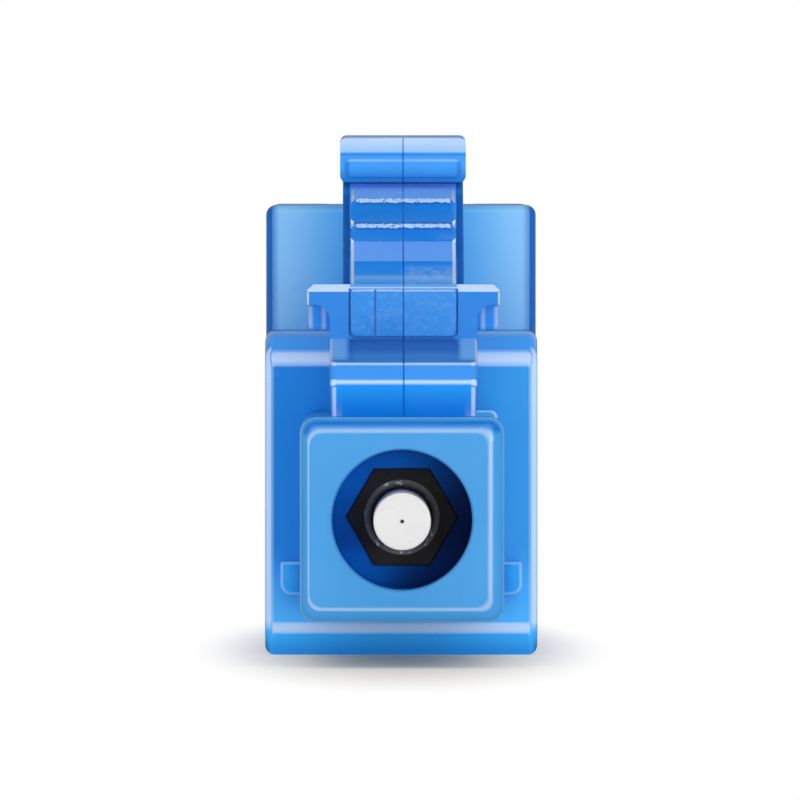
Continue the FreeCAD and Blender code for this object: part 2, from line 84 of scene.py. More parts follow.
NOTCH_HALF = 1.75
NOTCH_FRONT = 13.8
FLARE_FRONT, FLARE_BACK = 16.2, 16.56
FLARE_TOP = PORT_TOP - 0.4
FLARE_REACH = 0.36
CUT_FRONT, CUT_BACK, CUT_TOP = -6, 18, 12
NEAR = 0.002
PLAIN, RIM, BURR, CHAMFER = 0, 1, 2, 3


def clear_bench():
    """Leaves edit mode and selects nothing."""
    if bpy.context.object and bpy.context.object.mode == "EDIT":
        bpy.ops.object.mode_set(mode="OBJECT")
    bpy.ops.object.select_all(action="DESELECT")


def choose(piece):
    """Makes a piece the only selected object, and the active one."""
    clear_bench()
    piece.select_set(True)
    bpy.context.view_layer.objects.active = piece


def allow_kinds(piece):
    """Opens an empty slot for each kind of face, so that rims and burrs can be told from the rest."""
    for _ in (PLAIN, RIM, BURR, CHAMFER):
        piece.data.materials.append(None)


def start_block(name, low, high):
    """Opens a block between two corners, in millimetres, for shaping in edit mode."""
    low, high = Vector(low), Vector(high)
    clear_bench()
    bpy.ops.mesh.primitive_cube_add(size=1, location=(low + high) / 2)
    block = bpy.context.object
    block.name = name
    block.scale = high - low
    bpy.ops.object.transform_apply()
    allow_kinds(block)
    bpy.ops.object.mode_set(mode="EDIT")
    return block


def start_rod(name, radius, front, back, sides=96, turn=0):
    """Opens a round or many-sided rod on the optical axis, in millimetres, in edit mode."""
    clear_bench()
    bpy.ops.mesh.primitive_cylinder_add(
        vertices=sides, radius=radius, depth=back - front,
        location=(0, (front + back) / 2, AXIS_HEIGHT),
        rotation=(math.radians(90), math.radians(turn), 0))
    rod = bpy.context.object
    rod.name = name
    bpy.ops.object.transform_apply()
    allow_kinds(rod)
    bpy.ops.object.mode_set(mode="EDIT")
    return rod


def pick_faces(piece, wanted):
    """Selects the faces whose middle and normal pass a test."""
    bpy.ops.mesh.select_mode(type="FACE")
    bpy.ops.mesh.select_all(action="DESELECT")
    shape = bmesh.from_edit_mesh(piece.data)
    for face in shape.faces:
        face.select_set(bool(wanted(face.calc_center_median(), face.normal)))
    bmesh.update_edit_mesh(piece.data)


def pick_edges(piece, wanted):
    """Selects the edges whose two ends pass a test."""
    bpy.ops.mesh.select_mode(type="EDGE")
    bpy.ops.mesh.select_all(action="DESELECT")
    shape = bmesh.from_edit_mesh(piece.data)
    for edge in shape.edges:
        edge.select_set(bool(wanted(edge.verts[0].co, edge.verts[1].co)))
    bmesh.update_edit_mesh(piece.data)


def bevel(piece, width, segments, wanted, kind=-1):
    """Bevels the edges whose two ends pass a test."""
    pick_edges(piece, wanted)
    bpy.ops.mesh.bevel(offset=width, segments=segments, material=kind)


def at(value, place):
    """Whether a coordinate is at a place."""
    return abs(value - place) < NEAR


def looks_ahead(middle, normal):
    """Whether a face looks towards the plug end."""
    return normal.y < -0.9


def looks_back(middle, normal):
    """Whether a face looks towards the socket end."""
    return normal.y > 0.9


def crossing(depth, height):
    """A test for edges that run straight across a piece, at one depth and height."""
    return lambda a, b: all(at(end.y, depth) and at(end.z, height) for end in (a, b))


def runs_back(a, b):
    """Whether an edge leads from front to back."""
    return abs(a.y - b.y) > 0.1


def on_side(a, b, half):
    """Whether an edge lies in one of the two sides of a given half width."""
    return at(abs(a.x), half) and at(a.x, b.x)


def push(offset):
    """Extrudes the selected faces by an offset."""
    bpy.ops.mesh.extrude_region_move(TRANSFORM_OT_translate={"value": offset})


def shift(offset):
    """Moves what is selected by an offset."""
    bpy.ops.transform.translate(value=offset)


def widen(across, upward):
    """Scales what is selected about the optical axis."""
    bpy.ops.transform.resize(value=(across, 1, upward), center_override=(0, 0, AXIS_HEIGHT))


def pick_all():
    """Selects all of the open piece."""
    bpy.ops.mesh.select_all(action="SELECT")


def split(place, normal):
    """Cuts an edge loop all round the open piece where a plane meets it."""
    pick_all()
    bpy.ops.mesh.bisect(plane_co=place, plane_no=normal, threshold=1e-5)


def merge_flats():
    """Dissolves the lines that cross the open piece's flat faces."""
    pick_all()
    bpy.ops.mesh.dissolve_limited(angle_limit=math.radians(1))


def finish_step(piece, kind, **settings):
    """Adds a modifier to a piece and applies it."""
    choose(piece)
    step = piece.modifiers.new(kind.lower(), kind)
    for name, value in settings.items():
        setattr(step, name, value)
    bpy.ops.object.modifier_apply(modifier=step.name)


def combine(piece, tool, operation="UNION"):
    """Joins a second shape to a piece, and removes the second shape."""
    finish_step(piece, "BOOLEAN", operation=operation, solver="MANIFOLD", object=tool)
    bpy.data.objects.remove(tool)


def cut(piece, tool):
    """Cuts a second shape out of a piece."""
    combine(piece, tool, "DIFFERENCE")


def mark_kinds(piece):
    """Keeps the kind of each face on the mesh, and how far each corner is inside a rounded rim."""
    for name, kind in (("on_rim", RIM), ("burr", BURR), ("chamfer", CHAMFER)):
        marks = piece.data.attributes.new(name, "FLOAT", "FACE")
        for face, entry in zip(piece.data.polygons, marks.data):
            entry.value = float(face.material_index == kind)
    shape = bmesh.new()
    shape.from_mesh(piece.data)
    brim = set()
    for edge in shape.edges:
        rims = [face for face in edge.link_faces if face.material_index == RIM]
        if len(rims) == 1 and edge.calc_length() * len(rims[0].edges) >= rims[0].calc_perimeter():
            brim.update(edge.verts)
    near_brim = {edge.other_vert(corner) for corner in brim for edge in corner.link_edges}
    depth = piece.data.attributes.new("rim", "FLOAT", "POINT")
    for corner, entry in zip(shape.verts, depth.data):
        entry.value = 0 if corner in brim else 0.6 if corner in near_brim else 1
    shape.free()


def to_metres(piece, angle=35):
    """Takes a finished piece from millimetres to metres, with smooth rounds and true flats."""
    choose(piece)
    piece.scale = (MM, MM, MM)
    bpy.ops.object.transform_apply()
    mark_kinds(piece)
    bpy.ops.object.shade_smooth_by_angle(angle=math.radians(angle))
    finish_step(piece, "WEIGHTED_NORMAL", keep_sharp=True, weight=80, thresh=0)


body = start_block("body_shell", (-BODY_HALF, BLOCK_FRONT, 0), (BODY_HALF, BODY_BACK, BLOCK_TOP))
split((0, 0, COLLAR_TOP), (0, 0, 1))
pick_faces(body, lambda middle, normal: looks_ahead(middle, normal) and middle.z < COLLAR_TOP)
push((0, BROW_START - BLOCK_FRONT, 0))
push((0, CHIN_START - BROW_START, 0))
push((0, COLLAR_FRONT - CHIN_START, 0))
brow_fall = COLLAR_TOP - BROW_END
brow_share = (CHIN_START - BROW_START) / (COLLAR_FRONT - BROW_START)
pick_edges(body, crossing(COLLAR_FRONT, COLLAR_TOP))
shift((0, 0, -brow_fall))
pick_edges(body, crossing(CHIN_START, COLLAR_TOP))
shift((0, 0, -brow_fall * brow_share))
pick_edges(body, crossing(COLLAR_FRONT, 0))
shift((0, 0, CHIN_END))
merge_flats()


def is_shell_edge(a, b):
    block_rim = at(a.z, BLOCK_TOP) and at(b.z, BLOCK_TOP)
    back_rim = at(a.y, BODY_BACK) and at(b.y, BODY_BACK)
    return on_side(a, b, BODY_HALF) or block_rim or back_rim


def is_level(a, b, place):
    return at(a.y, place) and at(b.y, place) and at(a.z, b.z)


def is_brow_edge(a, b):
    return is_level(a, b, BROW_START) or is_level(a, b, COLLAR_FRONT) and a.z > AXIS_HEIGHT


def is_chin_edge(a, b):
    return is_level(a, b, COLLAR_FRONT) and a.z < AXIS_HEIGHT


pick_edges(body, is_shell_edge)
bpy.ops.transform.edge_bevelweight(value=SHELL_ROUND / BROW_ROUND)
pick_edges(body, is_chin_edge)
bpy.ops.transform.edge_bevelweight(value=CHIN_ROUND / BROW_ROUND)
pick_edges(body, is_brow_edge)
bpy.ops.transform.edge_bevelweight(value=1)
finish_step(body, "BEVEL", width=BROW_ROUND, segments=6, limit_method="WEIGHT", material=RIM)

seat = start_block("seat", (-SEAT_HALF, CUT_FRONT, AXIS_HEIGHT - SEAT_HALF),
                   (SEAT_HALF, SEAT_BACK, AXIS_HEIGHT + SEAT_HALF))
bevel(seat, SEAT_CORNER, 7, runs_back)
cut(body, seat)
cut(body, start_rod("passage", PASSAGE_RADIUS, PASSAGE_FRONT, PASSAGE_BACK))
well = start_block("well", (-PORT_HALF, PORT_FLOOR, PORT_LOW), (PORT_HALF, CUT_BACK, PORT_TOP))
bevel(well, PORT_CORNER, 4, runs_back)
cut(body, well)
window = start_block("window", (-PORT_HALF, WINDOW_FRONT, WINDOW_LOW),
                     (PORT_HALF, WINDOW_BACK, WINDOW_TOP))
bevel(window, PORT_CORNER, 4, lambda a, b: at(a.z, WINDOW_TOP) and at(b.z, WINDOW_TOP))
cut(body, window)
notch = start_block("notch", (-NOTCH_HALF, NOTCH_FRONT, WINDOW_LOW), (NOTCH_HALF, CUT_BACK, CUT_TOP))
cut(body, notch)
flare = start_block("flare", (-PORT_HALF, FLARE_FRONT, PORT_LOW), (PORT_HALF, FLARE_BACK, FLARE_TOP))
pick_faces(flare, looks_back)
widen(1 + FLARE_REACH / PORT_HALF, 1)
pick_edges(flare, crossing(FLARE_BACK, PORT_LOW))
shift((0, 0, -FLARE_REACH))
cut(body, flare)
to_metres(body)


def new_finish(name):
    """An empty node material with its shader, ready for a piece's own nodes."""
    finish = bpy.data.materials.new(name)
    finish.use_nodes = True
    tree = finish.node_tree
    return finish, tree, tree.nodes["Principled BSDF"]


def feed(value, shader, name):
    """Leads a value into one of a shader's inputs."""
    value.id_data.links.new(value, shader.inputs[name])


def wear(piece, finish, body_name, slot, *nodes):
    """Gives a piece its finish, the body that it moves with, and the nodes that it stands for."""
    piece.data.materials.clear()
    piece.data.materials.append(finish)
    if body_name:
        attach(piece, body_name)
    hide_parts(*nodes)


def noise(vector, scale, detail=3, roughness=0.5):
    """A noise texture on a vector, with its scale in turns for each metre."""
    tree = vector.id_data
    texture = tree.nodes.new("ShaderNodeTexNoise")
    texture.inputs["Scale"].default_value = scale
    texture.inputs["Detail"].default_value = detail
    texture.inputs["Roughness"].default_value = roughness
    tree.links.new(vector, texture.inputs["Vector"])
    return texture.outputs["Fac"]


def span(value, low, high, to_low=0.0, to_high=1.0):
    """Carries a value from one range to another, smoothly and held at both ends."""
    tree = value.id_data
    ramp = tree.nodes.new("ShaderNodeMapRange")
    ramp.interpolation_type = "SMOOTHSTEP"
    for name, number in (("From Min", low), ("From Max", high),
                         ("To Min", to_low), ("To Max", to_high)):
        ramp.inputs[name].default_value = number
    tree.links.new(value, ramp.inputs["Value"])
    return ramp.outputs["Result"]


def fade(value, low, high, to_low=0.0, to_high=1.0):
    """A span of a place, whose first range is in millimetres."""
    return span(value, low * MM, high * MM, to_low, to_high)


def reckon(operation, *values):
    """A math node on sockets or plain numbers."""
    tree = next(value for value in values if not isinstance(value, (int, float))).id_data
    node = tree.nodes.new("ShaderNodeMath")
    node.operation = operation
    for index, value in enumerate(values):
        if isinstance(value, (int, float)):
            node.inputs[index].default_value = value
        else:
            tree.links.new(value, node.inputs[index])
    return node.outputs[0]


def both(*masks):
    """The product of masks or plain numbers."""
    result = masks[0]
    for mask in masks[1:]:
        result = reckon("MULTIPLY", result, mask)
    return result


def either(*masks):
    """The largest of several masks."""
    result = masks[0]
    for mask in masks[1:]:
        result = reckon("MAXIMUM", result, mask)
    return result


def tint(share, first, second):
    """Mixes two colours, each a socket or a plain colour, by a share."""
    tree = share.id_data
    node = tree.nodes.new("ShaderNodeMix")
    node.data_type = "RGBA"
    tree.links.new(share, node.inputs["Factor"])
    for name, colour in (("A", first), ("B", second)):
        socket = next(s for s in node.inputs if s.name == name and s.type == "RGBA")
        if isinstance(colour, tuple):
            socket.default_value = (*colour, 1)
        else:
            tree.links.new(colour, socket)
    return next(s for s in node.outputs if s.type == "RGBA")


def place_in(tree):
    """The object's own coordinates, whole and as three values."""
    place = tree.nodes.new("ShaderNodeTexCoord")
    parts = tree.nodes.new("ShaderNodeSeparateXYZ")
    tree.links.new(place.outputs["Object"], parts.inputs[0])
    return place.outputs, parts.outputs


def marked(tree, name):
    """The value that a piece keeps on its mesh under a name."""
    node = tree.nodes.new("ShaderNodeAttribute")
    node.attribute_name = name
    return node.outputs["Fac"]


def facing(coords):
    """How far a surface faces the plug's front, and its whole normal as three values."""
    tree = coords["Normal"].id_data
    normal = tree.nodes.new("ShaderNodeSeparateXYZ")
    tree.links.new(coords["Normal"], normal.inputs[0])
    return reckon("MULTIPLY", normal.outputs[1], -1), normal.outputs


def moulded_group():
    """Flow marks and fine grain, as every moulded blue surface has them, and a painted highlight on
    rounded edges and chamfers.
    """
    group = bpy.data.node_groups.new("moulded_surface", "ShaderNodeTree")
    for name, kind in (("Colour", "NodeSocketColor"), ("Streak_And_Highlight", "NodeSocketColor"),
                       ("Edge_Highlight", "NodeSocketFloat"), ("Mottle", "NodeSocketFloat")):
        group.interface.new_socket(name, in_out="INPUT", socket_type=kind)
    for name, kind in (("Colour", "NodeSocketColor"), ("Roughness", "NodeSocketFloat"),
                       ("Height", "NodeSocketFloat")):
        group.interface.new_socket(name, in_out="OUTPUT", socket_type=kind)
    given = group.nodes.new("NodeGroupInput").outputs
    result = group.nodes.new("NodeGroupOutput").inputs
    coords, _ = place_in(group)
    flow = noise(coords["Object"], 420, 4, 0.6)
    grain = noise(coords["Object"], 11000, 2, 0.5)
    rounded = both(marked(group, "rim"), marked(group, "on_rim"))
    # Rounded rims and chamfers get a painted highlight in the pale colour, as strong as the piece asks
    edge = both(either(rounded, marked(group, "chamfer")), given["Edge_Highlight"])
    mottled = both(span(flow, 0.35, 0.75), given["Mottle"])
    streaks = tint(mottled, given["Colour"], given["Streak_And_Highlight"])
    group.links.new(tint(edge, streaks, given["Streak_And_Highlight"]), result["Colour"])
    group.links.new(span(flow, 0.3, 0.7, 0.2, 0.28), result["Roughness"])
    group.links.new(grain, result["Height"])
    return group


MOULDED = moulded_group()
BLUE = (0.003, 0.232, 0.74)
# One pale blue serves the flow streaks and the painted edge highlight
STREAK_AND_HIGHLIGHT_BLUE = (0.42, 0.63, 1.0)
GRAIN_HEIGHT = 0.002


def blue_plastic(name, rim, mottle):
    """A blue moulded finish, with how strongly a highlight is painted on its rounded edges and how far it
    is mottled.
    """
    finish, tree, shader = new_finish(name)
    surface = tree.nodes.new("ShaderNodeGroup")
    surface.node_tree = MOULDED
    surface.inputs["Colour"].default_value = (*BLUE, 1)
    surface.inputs["Streak_And_Highlight"].default_value = (*STREAK_AND_HIGHLIGHT_BLUE, 1)
    surface.inputs["Edge_Highlight"].default_value = rim
    surface.inputs["Mottle"].default_value = mottle
    bump = tree.nodes.new("ShaderNodeBump")
    bump.inputs["Strength"].default_value = 0.5
    bump.inputs["Distance"].default_value = GRAIN_HEIGHT * MM
    tree.links.new(surface.outputs["Height"], bump.inputs["Height"])
    feed(bump.outputs["Normal"], shader, "Normal")
    feed(surface.outputs["Colour"], shader, "Base Color")
    feed(surface.outputs["Roughness"], shader, "Roughness")
    return finish, tree, shader, surface


BLOCK_LIT_SIDES, BLOCK_SHADED_MIDDLE = (0.23, 0.54, 0.88), (0.09, 0.43, 0.90)
FLANK_SHADE = (0.008, 0.12, 0.46)
LIT_RIGHT_BLUE = (0.034, 0.335, 0.80)
BROW_LIT_BLUE = (0.045, 0.37, 1.0)
FLOOR_BOUNCE_BLUE = (0.07, 0.46, 1.0)
CHIN_SHADE, CHIN_LIT = (0.024, 0.31, 0.82), (0.045, 0.45, 1.0)
BRINK_HIGHLIGHT = (0.49, 0.69, 1.0)
BODY_SHINE, BODY_TOP_SHINE = 0.28, 0.03
housing_blue, tree, shader, surface = blue_plastic("housing_blue", 0, 0.01)
coords, spot = place_in(tree)
ahead, normal = facing(coords)
beside = reckon("ABSOLUTE", normal[0])
off_middle = reckon("ABSOLUTE", spot[0])
# The block's front is painted lighter towards its sides and in shade in the middle, behind the latch
block_light = tint(fade(off_middle, 1.2, 2.8), BLOCK_SHADED_MIDDLE, BLOCK_LIT_SIDES)
# The block's sides and side rounds are painted in deep shade
shaded_flank = either(span(beside, 0.1, 0.45), fade(off_middle, 2.72, 2.98))
block_light = tint(shaded_flank, block_light, FLANK_SHADE)
# The collar's right half is painted lighter, as if lit from the right
collar = tint(fade(spot[0], 0, 2.7), surface.outputs["Colour"], LIT_RIGHT_BLUE)
# The up-facing brow is painted lighter, where light from above falls on it
brow = both(span(normal[2], 0.6, 0.8), span(ahead, 0.3, 0.45))
collar = tint(brow, collar, BROW_LIT_BLUE)
# The lower collar is painted lighter, standing in for light bounced up from the floor
collar = tint(fade(spot[2], 2.6, 0.9), collar, FLOOR_BOUNCE_BLUE)
# The chin is painted in shade, darker towards the bottom under the nose
chin = tint(fade(spot[2], 0.05, 0.5), CHIN_SHADE, CHIN_LIT)
collar = tint(fade(spot[2], 0.62, 0.5), collar, chin)
# Painted highlight bands along the collar's rounded front edges and on its upper rounds
side_brink = both(span(beside, 0.2, 0.4), fade(spot[2], CHIN_END - 0.1, CHIN_END + 0.2))
level_brink = both(span(ahead, 0.53, 0.8), span(beside, 0.3, 0.15))
front_brink = both(span(ahead, 0.9998, 0.985), either(side_brink, level_brink),
                   fade(spot[1], COLLAR_FRONT + 0.4, COLLAR_FRONT + 0.25),
                   fade(spot[2], CHIN_END - 0.22, CHIN_END - 0.1))
top_brink = both(span(ahead, 0.5, 0.2), span(normal[2], 0.3, 0.5), 0.5)
brink_highlight = both(either(front_brink, top_brink), marked(tree, "rim"), marked(tree, "on_rim"))
collar = tint(brink_highlight, collar, BRINK_HIGHLIGHT)
block = fade(spot[1], BROW_START + 0.2, BLOCK_FRONT - 0.1)
fronts = tint(block, collar, block_light)
feed(tint(span(ahead, 0.06, 0), fronts, BLUE), shader, "Base Color")
feed(span(normal[2], 0.97, 0.995, BODY_SHINE, BODY_TOP_SHINE), shader, "Specular IOR Level")
wear(body, housing_blue, "housing", "blue_housing", "body_housing")

# Split sleeve: a thin zirconia tube slit along its top, which springs open round both ferrules.
# It floats in its holder and lines up the two fibres end to end.
SLEEVE_BORE = 0.64
SLEEVE_OUTSIDE = 0.815
SLEEVE_FRONT = 1.65
SLEEVE_BACK = 8.45
SLEEVE_ROUND = 0.03
SLIT_HALF = 0.125
SLIT_FRONT, SLIT_BACK = 0, 10
SLIT_LOW, SLIT_TOP = AXIS_HEIGHT + 0.3, AXIS_HEIGHT + 1
CERAMIC_DIM, CERAMIC_CLEAR = (0.63, 0.63, 0.63), (0.65, 0.65, 0.65)


def round_edges(piece, width, segments=3, angle=30, kind=RIM):
    """Rounds every edge of a piece that is sharper than an angle."""
    finish_step(piece, "BEVEL", width=width, segments=segments, limit_method="ANGLE", material=kind,
                angle_limit=math.radians(angle), miter_outer="MITER_ARC")


sleeve = start_rod("sleeve_tube", SLEEVE_OUTSIDE, SLEEVE_FRONT, SLEEVE_BACK)
cut(sleeve, start_rod("sleeve_hole", SLEEVE_BORE, SLEEVE_FRONT - 1, SLEEVE_BACK + 1))
slit = start_block("slit", (-SLIT_HALF, SLIT_FRONT, SLIT_LOW), (SLIT_HALF, SLIT_BACK, SLIT_TOP))
cut(sleeve, slit)
round_edges(sleeve, SLEEVE_ROUND, 2)
to_metres(sleeve)

ceramic, tree, shader = new_finish("white_zirconia")
coords, _ = place_in(tree)
cloud = noise(coords["Object"], 900, 3)
feed(tint(span(cloud, 0.3, 0.7), CERAMIC_DIM, CERAMIC_CLEAR), shader, "Base Color")
feed(span(cloud, 0.3, 0.7, 0.22, 0.32), shader, "Roughness")
wear(sleeve, ceramic, "housing", "white_ceramic", "split_sleeve")

# Sleeve holder: the flanged blue tube that is trapped behind the plug frame's tail.
# Its boss stands up in the socket, and a lip at its tip keeps the sleeve from falling out.
HOLDER_FRONT = 1.6
HOLDER_BACK = 8.9
HOLDER_ROUND = 0.08
BOSS_RADIUS = 1.455
TIP_WALL = 0.535
TIP_DEPTH = 0.2
TIP_TAPER = 0.783
HOLDER_FLANGE_RADIUS, HOLDER_FLANGE_BACK = 2.2, 2.6
HOLDER_ROOT_RADIUS, HOLDER_ROOT_FRONT = 1.75, 2.5
HOLDER_BORE, HOLDER_BORE_FRONT, HOLDER_BORE_BACK = 0.845, 0, 8.5
LIP_BORE, LIP_FRONT, LIP_BACK = 0.72, 8, 8.75
holder = start_rod("sleeve_boss", BOSS_RADIUS, HOLDER_FRONT, HOLDER_BACK)
pick_faces(holder, looks_back)
bpy.ops.mesh.inset(thickness=TIP_WALL)
push((0, -TIP_DEPTH, 0))
widen(TIP_TAPER, TIP_TAPER)
push((0, -TIP_DEPTH, 0))
combine(holder, start_rod("holder_flange", HOLDER_FLANGE_RADIUS, HOLDER_FRONT, HOLDER_FLANGE_BACK))
combine(holder, start_rod("holder_root", HOLDER_ROOT_RADIUS, HOLDER_ROOT_FRONT, PORT_FLOOR))
cut(holder, start_rod("holder_hole", HOLDER_BORE, HOLDER_BORE_FRONT, HOLDER_BORE_BACK))
cut(holder, start_rod("holder_lip", LIP_BORE, LIP_FRONT, LIP_BACK))
round_edges(holder, HOLDER_ROUND, 3, 40)
to_metres(holder)
wear(holder, blue_plastic("holder_blue", 0.2, 0.1)[0], "housing", "blue_housing", "sleeve_holder")

# Spring stop: the plain blue bush that closes the plug frame's tail.
# It is never seen from outside, so the solid's own shape stays and gets its finish.
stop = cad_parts["spring_stop"]
stop.data.materials.clear()
stop.data.materials.append(blue_plastic("stop_blue", 0, 0.1)[0])

# Float spring: a coil of stainless wire between the stop and the flange's shoulder.
# It keeps the ferrule pressed forward, and shortens as the ferrule is pushed in.
COIL_RADIUS = 1.18
COIL_TURNS = 6
COIL_STEPS = 36
COIL_FRONT = -10.45
COIL_BACK = -4.45
WIRE_RADIUS = 0.14
WIRE_SIDES = 14
WIRE_DARK, WIRE_LIGHT = (0.48, 0.48, 0.50), (0.66, 0.66, 0.68)
clear_bench()
bpy.ops.mesh.primitive_circle_add(vertices=WIRE_SIDES, radius=WIRE_RADIUS,
                                  rotation=(0, math.radians(90), 0))
spring = bpy.context.object
spring.name = "spring_coil"
bpy.ops.object.transform_apply()
bpy.ops.object.mode_set(mode="EDIT")
pick_all()
shift((0, COIL_FRONT + WIRE_RADIUS, COIL_RADIUS))
coil_pitch = (COIL_BACK - COIL_FRONT - 2 * WIRE_RADIUS) / COIL_TURNS
finish_step(spring, "SCREW", axis="Y", screw_offset=coil_pitch, iterations=COIL_TURNS,
            steps=COIL_STEPS, render_steps=COIL_STEPS)
bpy.ops.object.mode_set(mode="EDIT")
pick_all()
bpy.ops.mesh.fill_holes(sides=0)
pick_all()
bpy.ops.mesh.normals_make_consistent(inside=False)
shift((0, 0, AXIS_HEIGHT))
to_metres(spring)
steel, tree, shader = new_finish("spring_wire")
coords, _ = place_in(tree)
drawn = noise(coords["Object"], 6000, 2)
shader.inputs["Metallic"].default_value = 1
feed(tint(drawn, WIRE_DARK, WIRE_LIGHT), shader, "Base Color")
feed(span(drawn, 0.3, 0.7, 0.2, 0.35), shader, "Roughness")
wear(spring, steel, "housing", "spring_steel", "float_spring")
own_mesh(spring)

# Plug frame: the square blue nose, one moulding with two side lugs and a small key lug.
# A stepped bore runs through it, and its tail is pressed into the housing up to the collar.
NOSE_HALF = 2.225
NOSE_FRONT = -14.95
NOSE_TAIL = 1.6
NOSE_LOW = AXIS_HEIGHT - NOSE_HALF
NOSE_TOP = AXIS_HEIGHT + NOSE_HALF
NOSE_CORNER = 0.36
RIM_DEPTH = 0.3
RIM_ANGLES = (15, 30, 45, 60, 72, 82, 90)
FLAT_LEFT, FLAT_RIGHT = -2.0, 1.81
FLAT_LOW, FLAT_TOP = 1.39, 5.08
BORE_RADIUS = 1.525
BORE_FLOOR = -11.95
BORE_LIP = 0.07
BORE_FLARES = ((0.04, 1.008), (0.035, 1.02))
HEX_HOLE = 2.13
HEX_HOLE_FRONT, HEX_HOLE_BACK = -12.5, -11
HEX_TURN = 30
SPRING_BORE = 1.6
SPRING_BORE_FRONT, SPRING_BORE_BACK = -11.15, 2
LUG_FRONT, LUG_BACK = -5.15, -4.7
LUG_TOP = AXIS_HEIGHT - 1.14
LUG_LOW = AXIS_HEIGHT - 1.89
LUG_FOOT, LUG_REACH = 2.1, 2.705
LUG_CORNER, LUG_ROUND = 0.25, 0.08
KEY_LEFT, KEY_RIGHT = 1.45, 2.1
KEY_FRONT, KEY_BACK = -12.7, -12.35
KEY_TOP = NOSE_TOP + 0.13
KEY_CORNER, KEY_ROUND = 0.16, 0.06


def running(across, height):
    """A test for edges that run along a piece, at one place across it and one height."""
    return lambda a, b: all(at(end.x, across) and at(end.z, height) for end in (a, b))


nose = start_block("plug_nose", (-NOSE_HALF, NOSE_FRONT + RIM_DEPTH, NOSE_LOW),
                   (NOSE_HALF, NOSE_TAIL, NOSE_TOP))
bevel(nose, NOSE_CORNER, 7, runs_back)
pick_faces(nose, looks_ahead)
reach = Vector((NOSE_HALF, 0, NOSE_HALF))
middle = Vector((0, 0, AXIS_HEIGHT))
flat_reach = Vector(((FLAT_RIGHT - FLAT_LEFT) / 2, 0, (FLAT_TOP - FLAT_LOW) / 2))
flat_middle = Vector(((FLAT_RIGHT + FLAT_LEFT) / 2, 0, (FLAT_TOP + FLAT_LOW) / 2))
gone, sunk = 0, 0
for angle in RIM_ANGLES:
    turn = math.radians(angle)
    share = 1 - math.cos(turn)
    push((0, RIM_DEPTH * (sunk - math.sin(turn)), 0))
    shift((flat_middle - middle) * (share - gone))
    now, before = reach.lerp(flat_reach, share), reach.lerp(flat_reach, gone)
    bpy.ops.transform.resize(value=(now.x / before.x, 1, now.z / before.z),
                             center_override=middle.lerp(flat_middle, share))
    gone, sunk = share, math.sin(turn)
for side in (-1, 1):
    lug = start_block("lug", (LUG_FOOT, LUG_FRONT, LUG_LOW), (LUG_REACH, LUG_BACK, LUG_TOP))
    bevel(lug, LUG_CORNER, 5, running(LUG_REACH, LUG_LOW))
    round_edges(lug, LUG_ROUND, 4)
    lug.scale.x = side
    choose(lug)
    bpy.ops.object.transform_apply()
    bpy.ops.object.mode_set(mode="EDIT")
    pick_all()
    bpy.ops.mesh.normals_make_consistent(inside=False)
    combine(nose, lug)
key = start_block("key", (KEY_LEFT, KEY_FRONT, NOSE_TOP - NOSE_CORNER), (KEY_RIGHT, KEY_BACK, KEY_TOP))
bevel(key, KEY_CORNER, 6, running(KEY_RIGHT, KEY_TOP))
round_edges(key, KEY_ROUND, 3)
combine(nose, key)
bore = start_rod("bore", BORE_RADIUS, NOSE_FRONT + BORE_LIP, BORE_FLOOR)
pick_faces(bore, looks_ahead)
for depth, growth in BORE_FLARES:
    push((0, -depth, 0))
    widen(growth, growth)
cut(nose, bore)
cut(nose, start_rod("hex_hole", HEX_HOLE / math.sqrt(3), HEX_HOLE_FRONT, HEX_HOLE_BACK, 6, HEX_TURN))
cut(nose, start_rod("spring_bore", SPRING_BORE, SPRING_BORE_FRONT, SPRING_BORE_BACK))
to_metres(nose)


def off_axis(spot):
    """The distance of a place from the optical axis."""
    rise = reckon("SUBTRACT", spot[2], AXIS_HEIGHT * MM)
    squares = reckon("ADD", reckon("POWER", spot[0], 2), reckon("POWER", rise, 2))
    return reckon("SQRT", squares)


NOSE_BLUE = (0.042, 0.28, 0.635)
RIM_SHADE, RIM_LIGHT = (0.006, 0.15, 0.55), (0.2, 0.5, 1.0)
NOSE_ROOF_SHADE = (0.003, 0.24, 0.86)
LUG_LIT_BLUE = (0.01, 0.37, 0.95)
BORDER_HIGHLIGHT, BORDER_HIGHLIGHT_SHARE = (0.6, 0.68, 0.78), 0.4
BORE_LIT_LEFT, BORE_SHADE_RIGHT = (0.002, 0.21, 0.84), (0.0003, 0.024, 0.17)
BORE_SHADE_LEAN = 0.4
NOSE_SHINE, NOSE_TOP_SHINE = 0.5, 0.05
nose_blue, tree, shader, surface = blue_plastic("nose_blue", 0.6, 0.02)
coords, spot = place_in(tree)
ahead, normal = facing(coords)
shaded = both(span(ahead, 0.95, 0.9), span(ahead, 0.6, 0.8), span(normal[2], 0.1, 0.3))
front = tint(shaded, NOSE_BLUE, RIM_SHADE)
front = tint(span(ahead, 0.5, 0.25), front, RIM_LIGHT)
behind_rim = fade(spot[1], NOSE_FRONT + RIM_DEPTH - 0.02, NOSE_FRONT + RIM_DEPTH + 0.02)
front = tint(behind_rim, front, NOSE_BLUE)
# The nose's upper faces are painted a deeper, shaded blue
roof = both(span(normal[2], 0.6, 0.8), span(ahead, 0.12, 0.04))
front = tint(roof, front, NOSE_ROOF_SHADE)
# The lugs' outer ends are painted lighter, as lit edges
lug_light = tint(fade(reckon("ABSOLUTE", spot[0]), 2.2, 2.6), BLUE, LUG_LIT_BLUE)
tree.links.new(tint(fade(spot[1], -5.6, -5.2), front, lug_light), surface.inputs["Colour"])
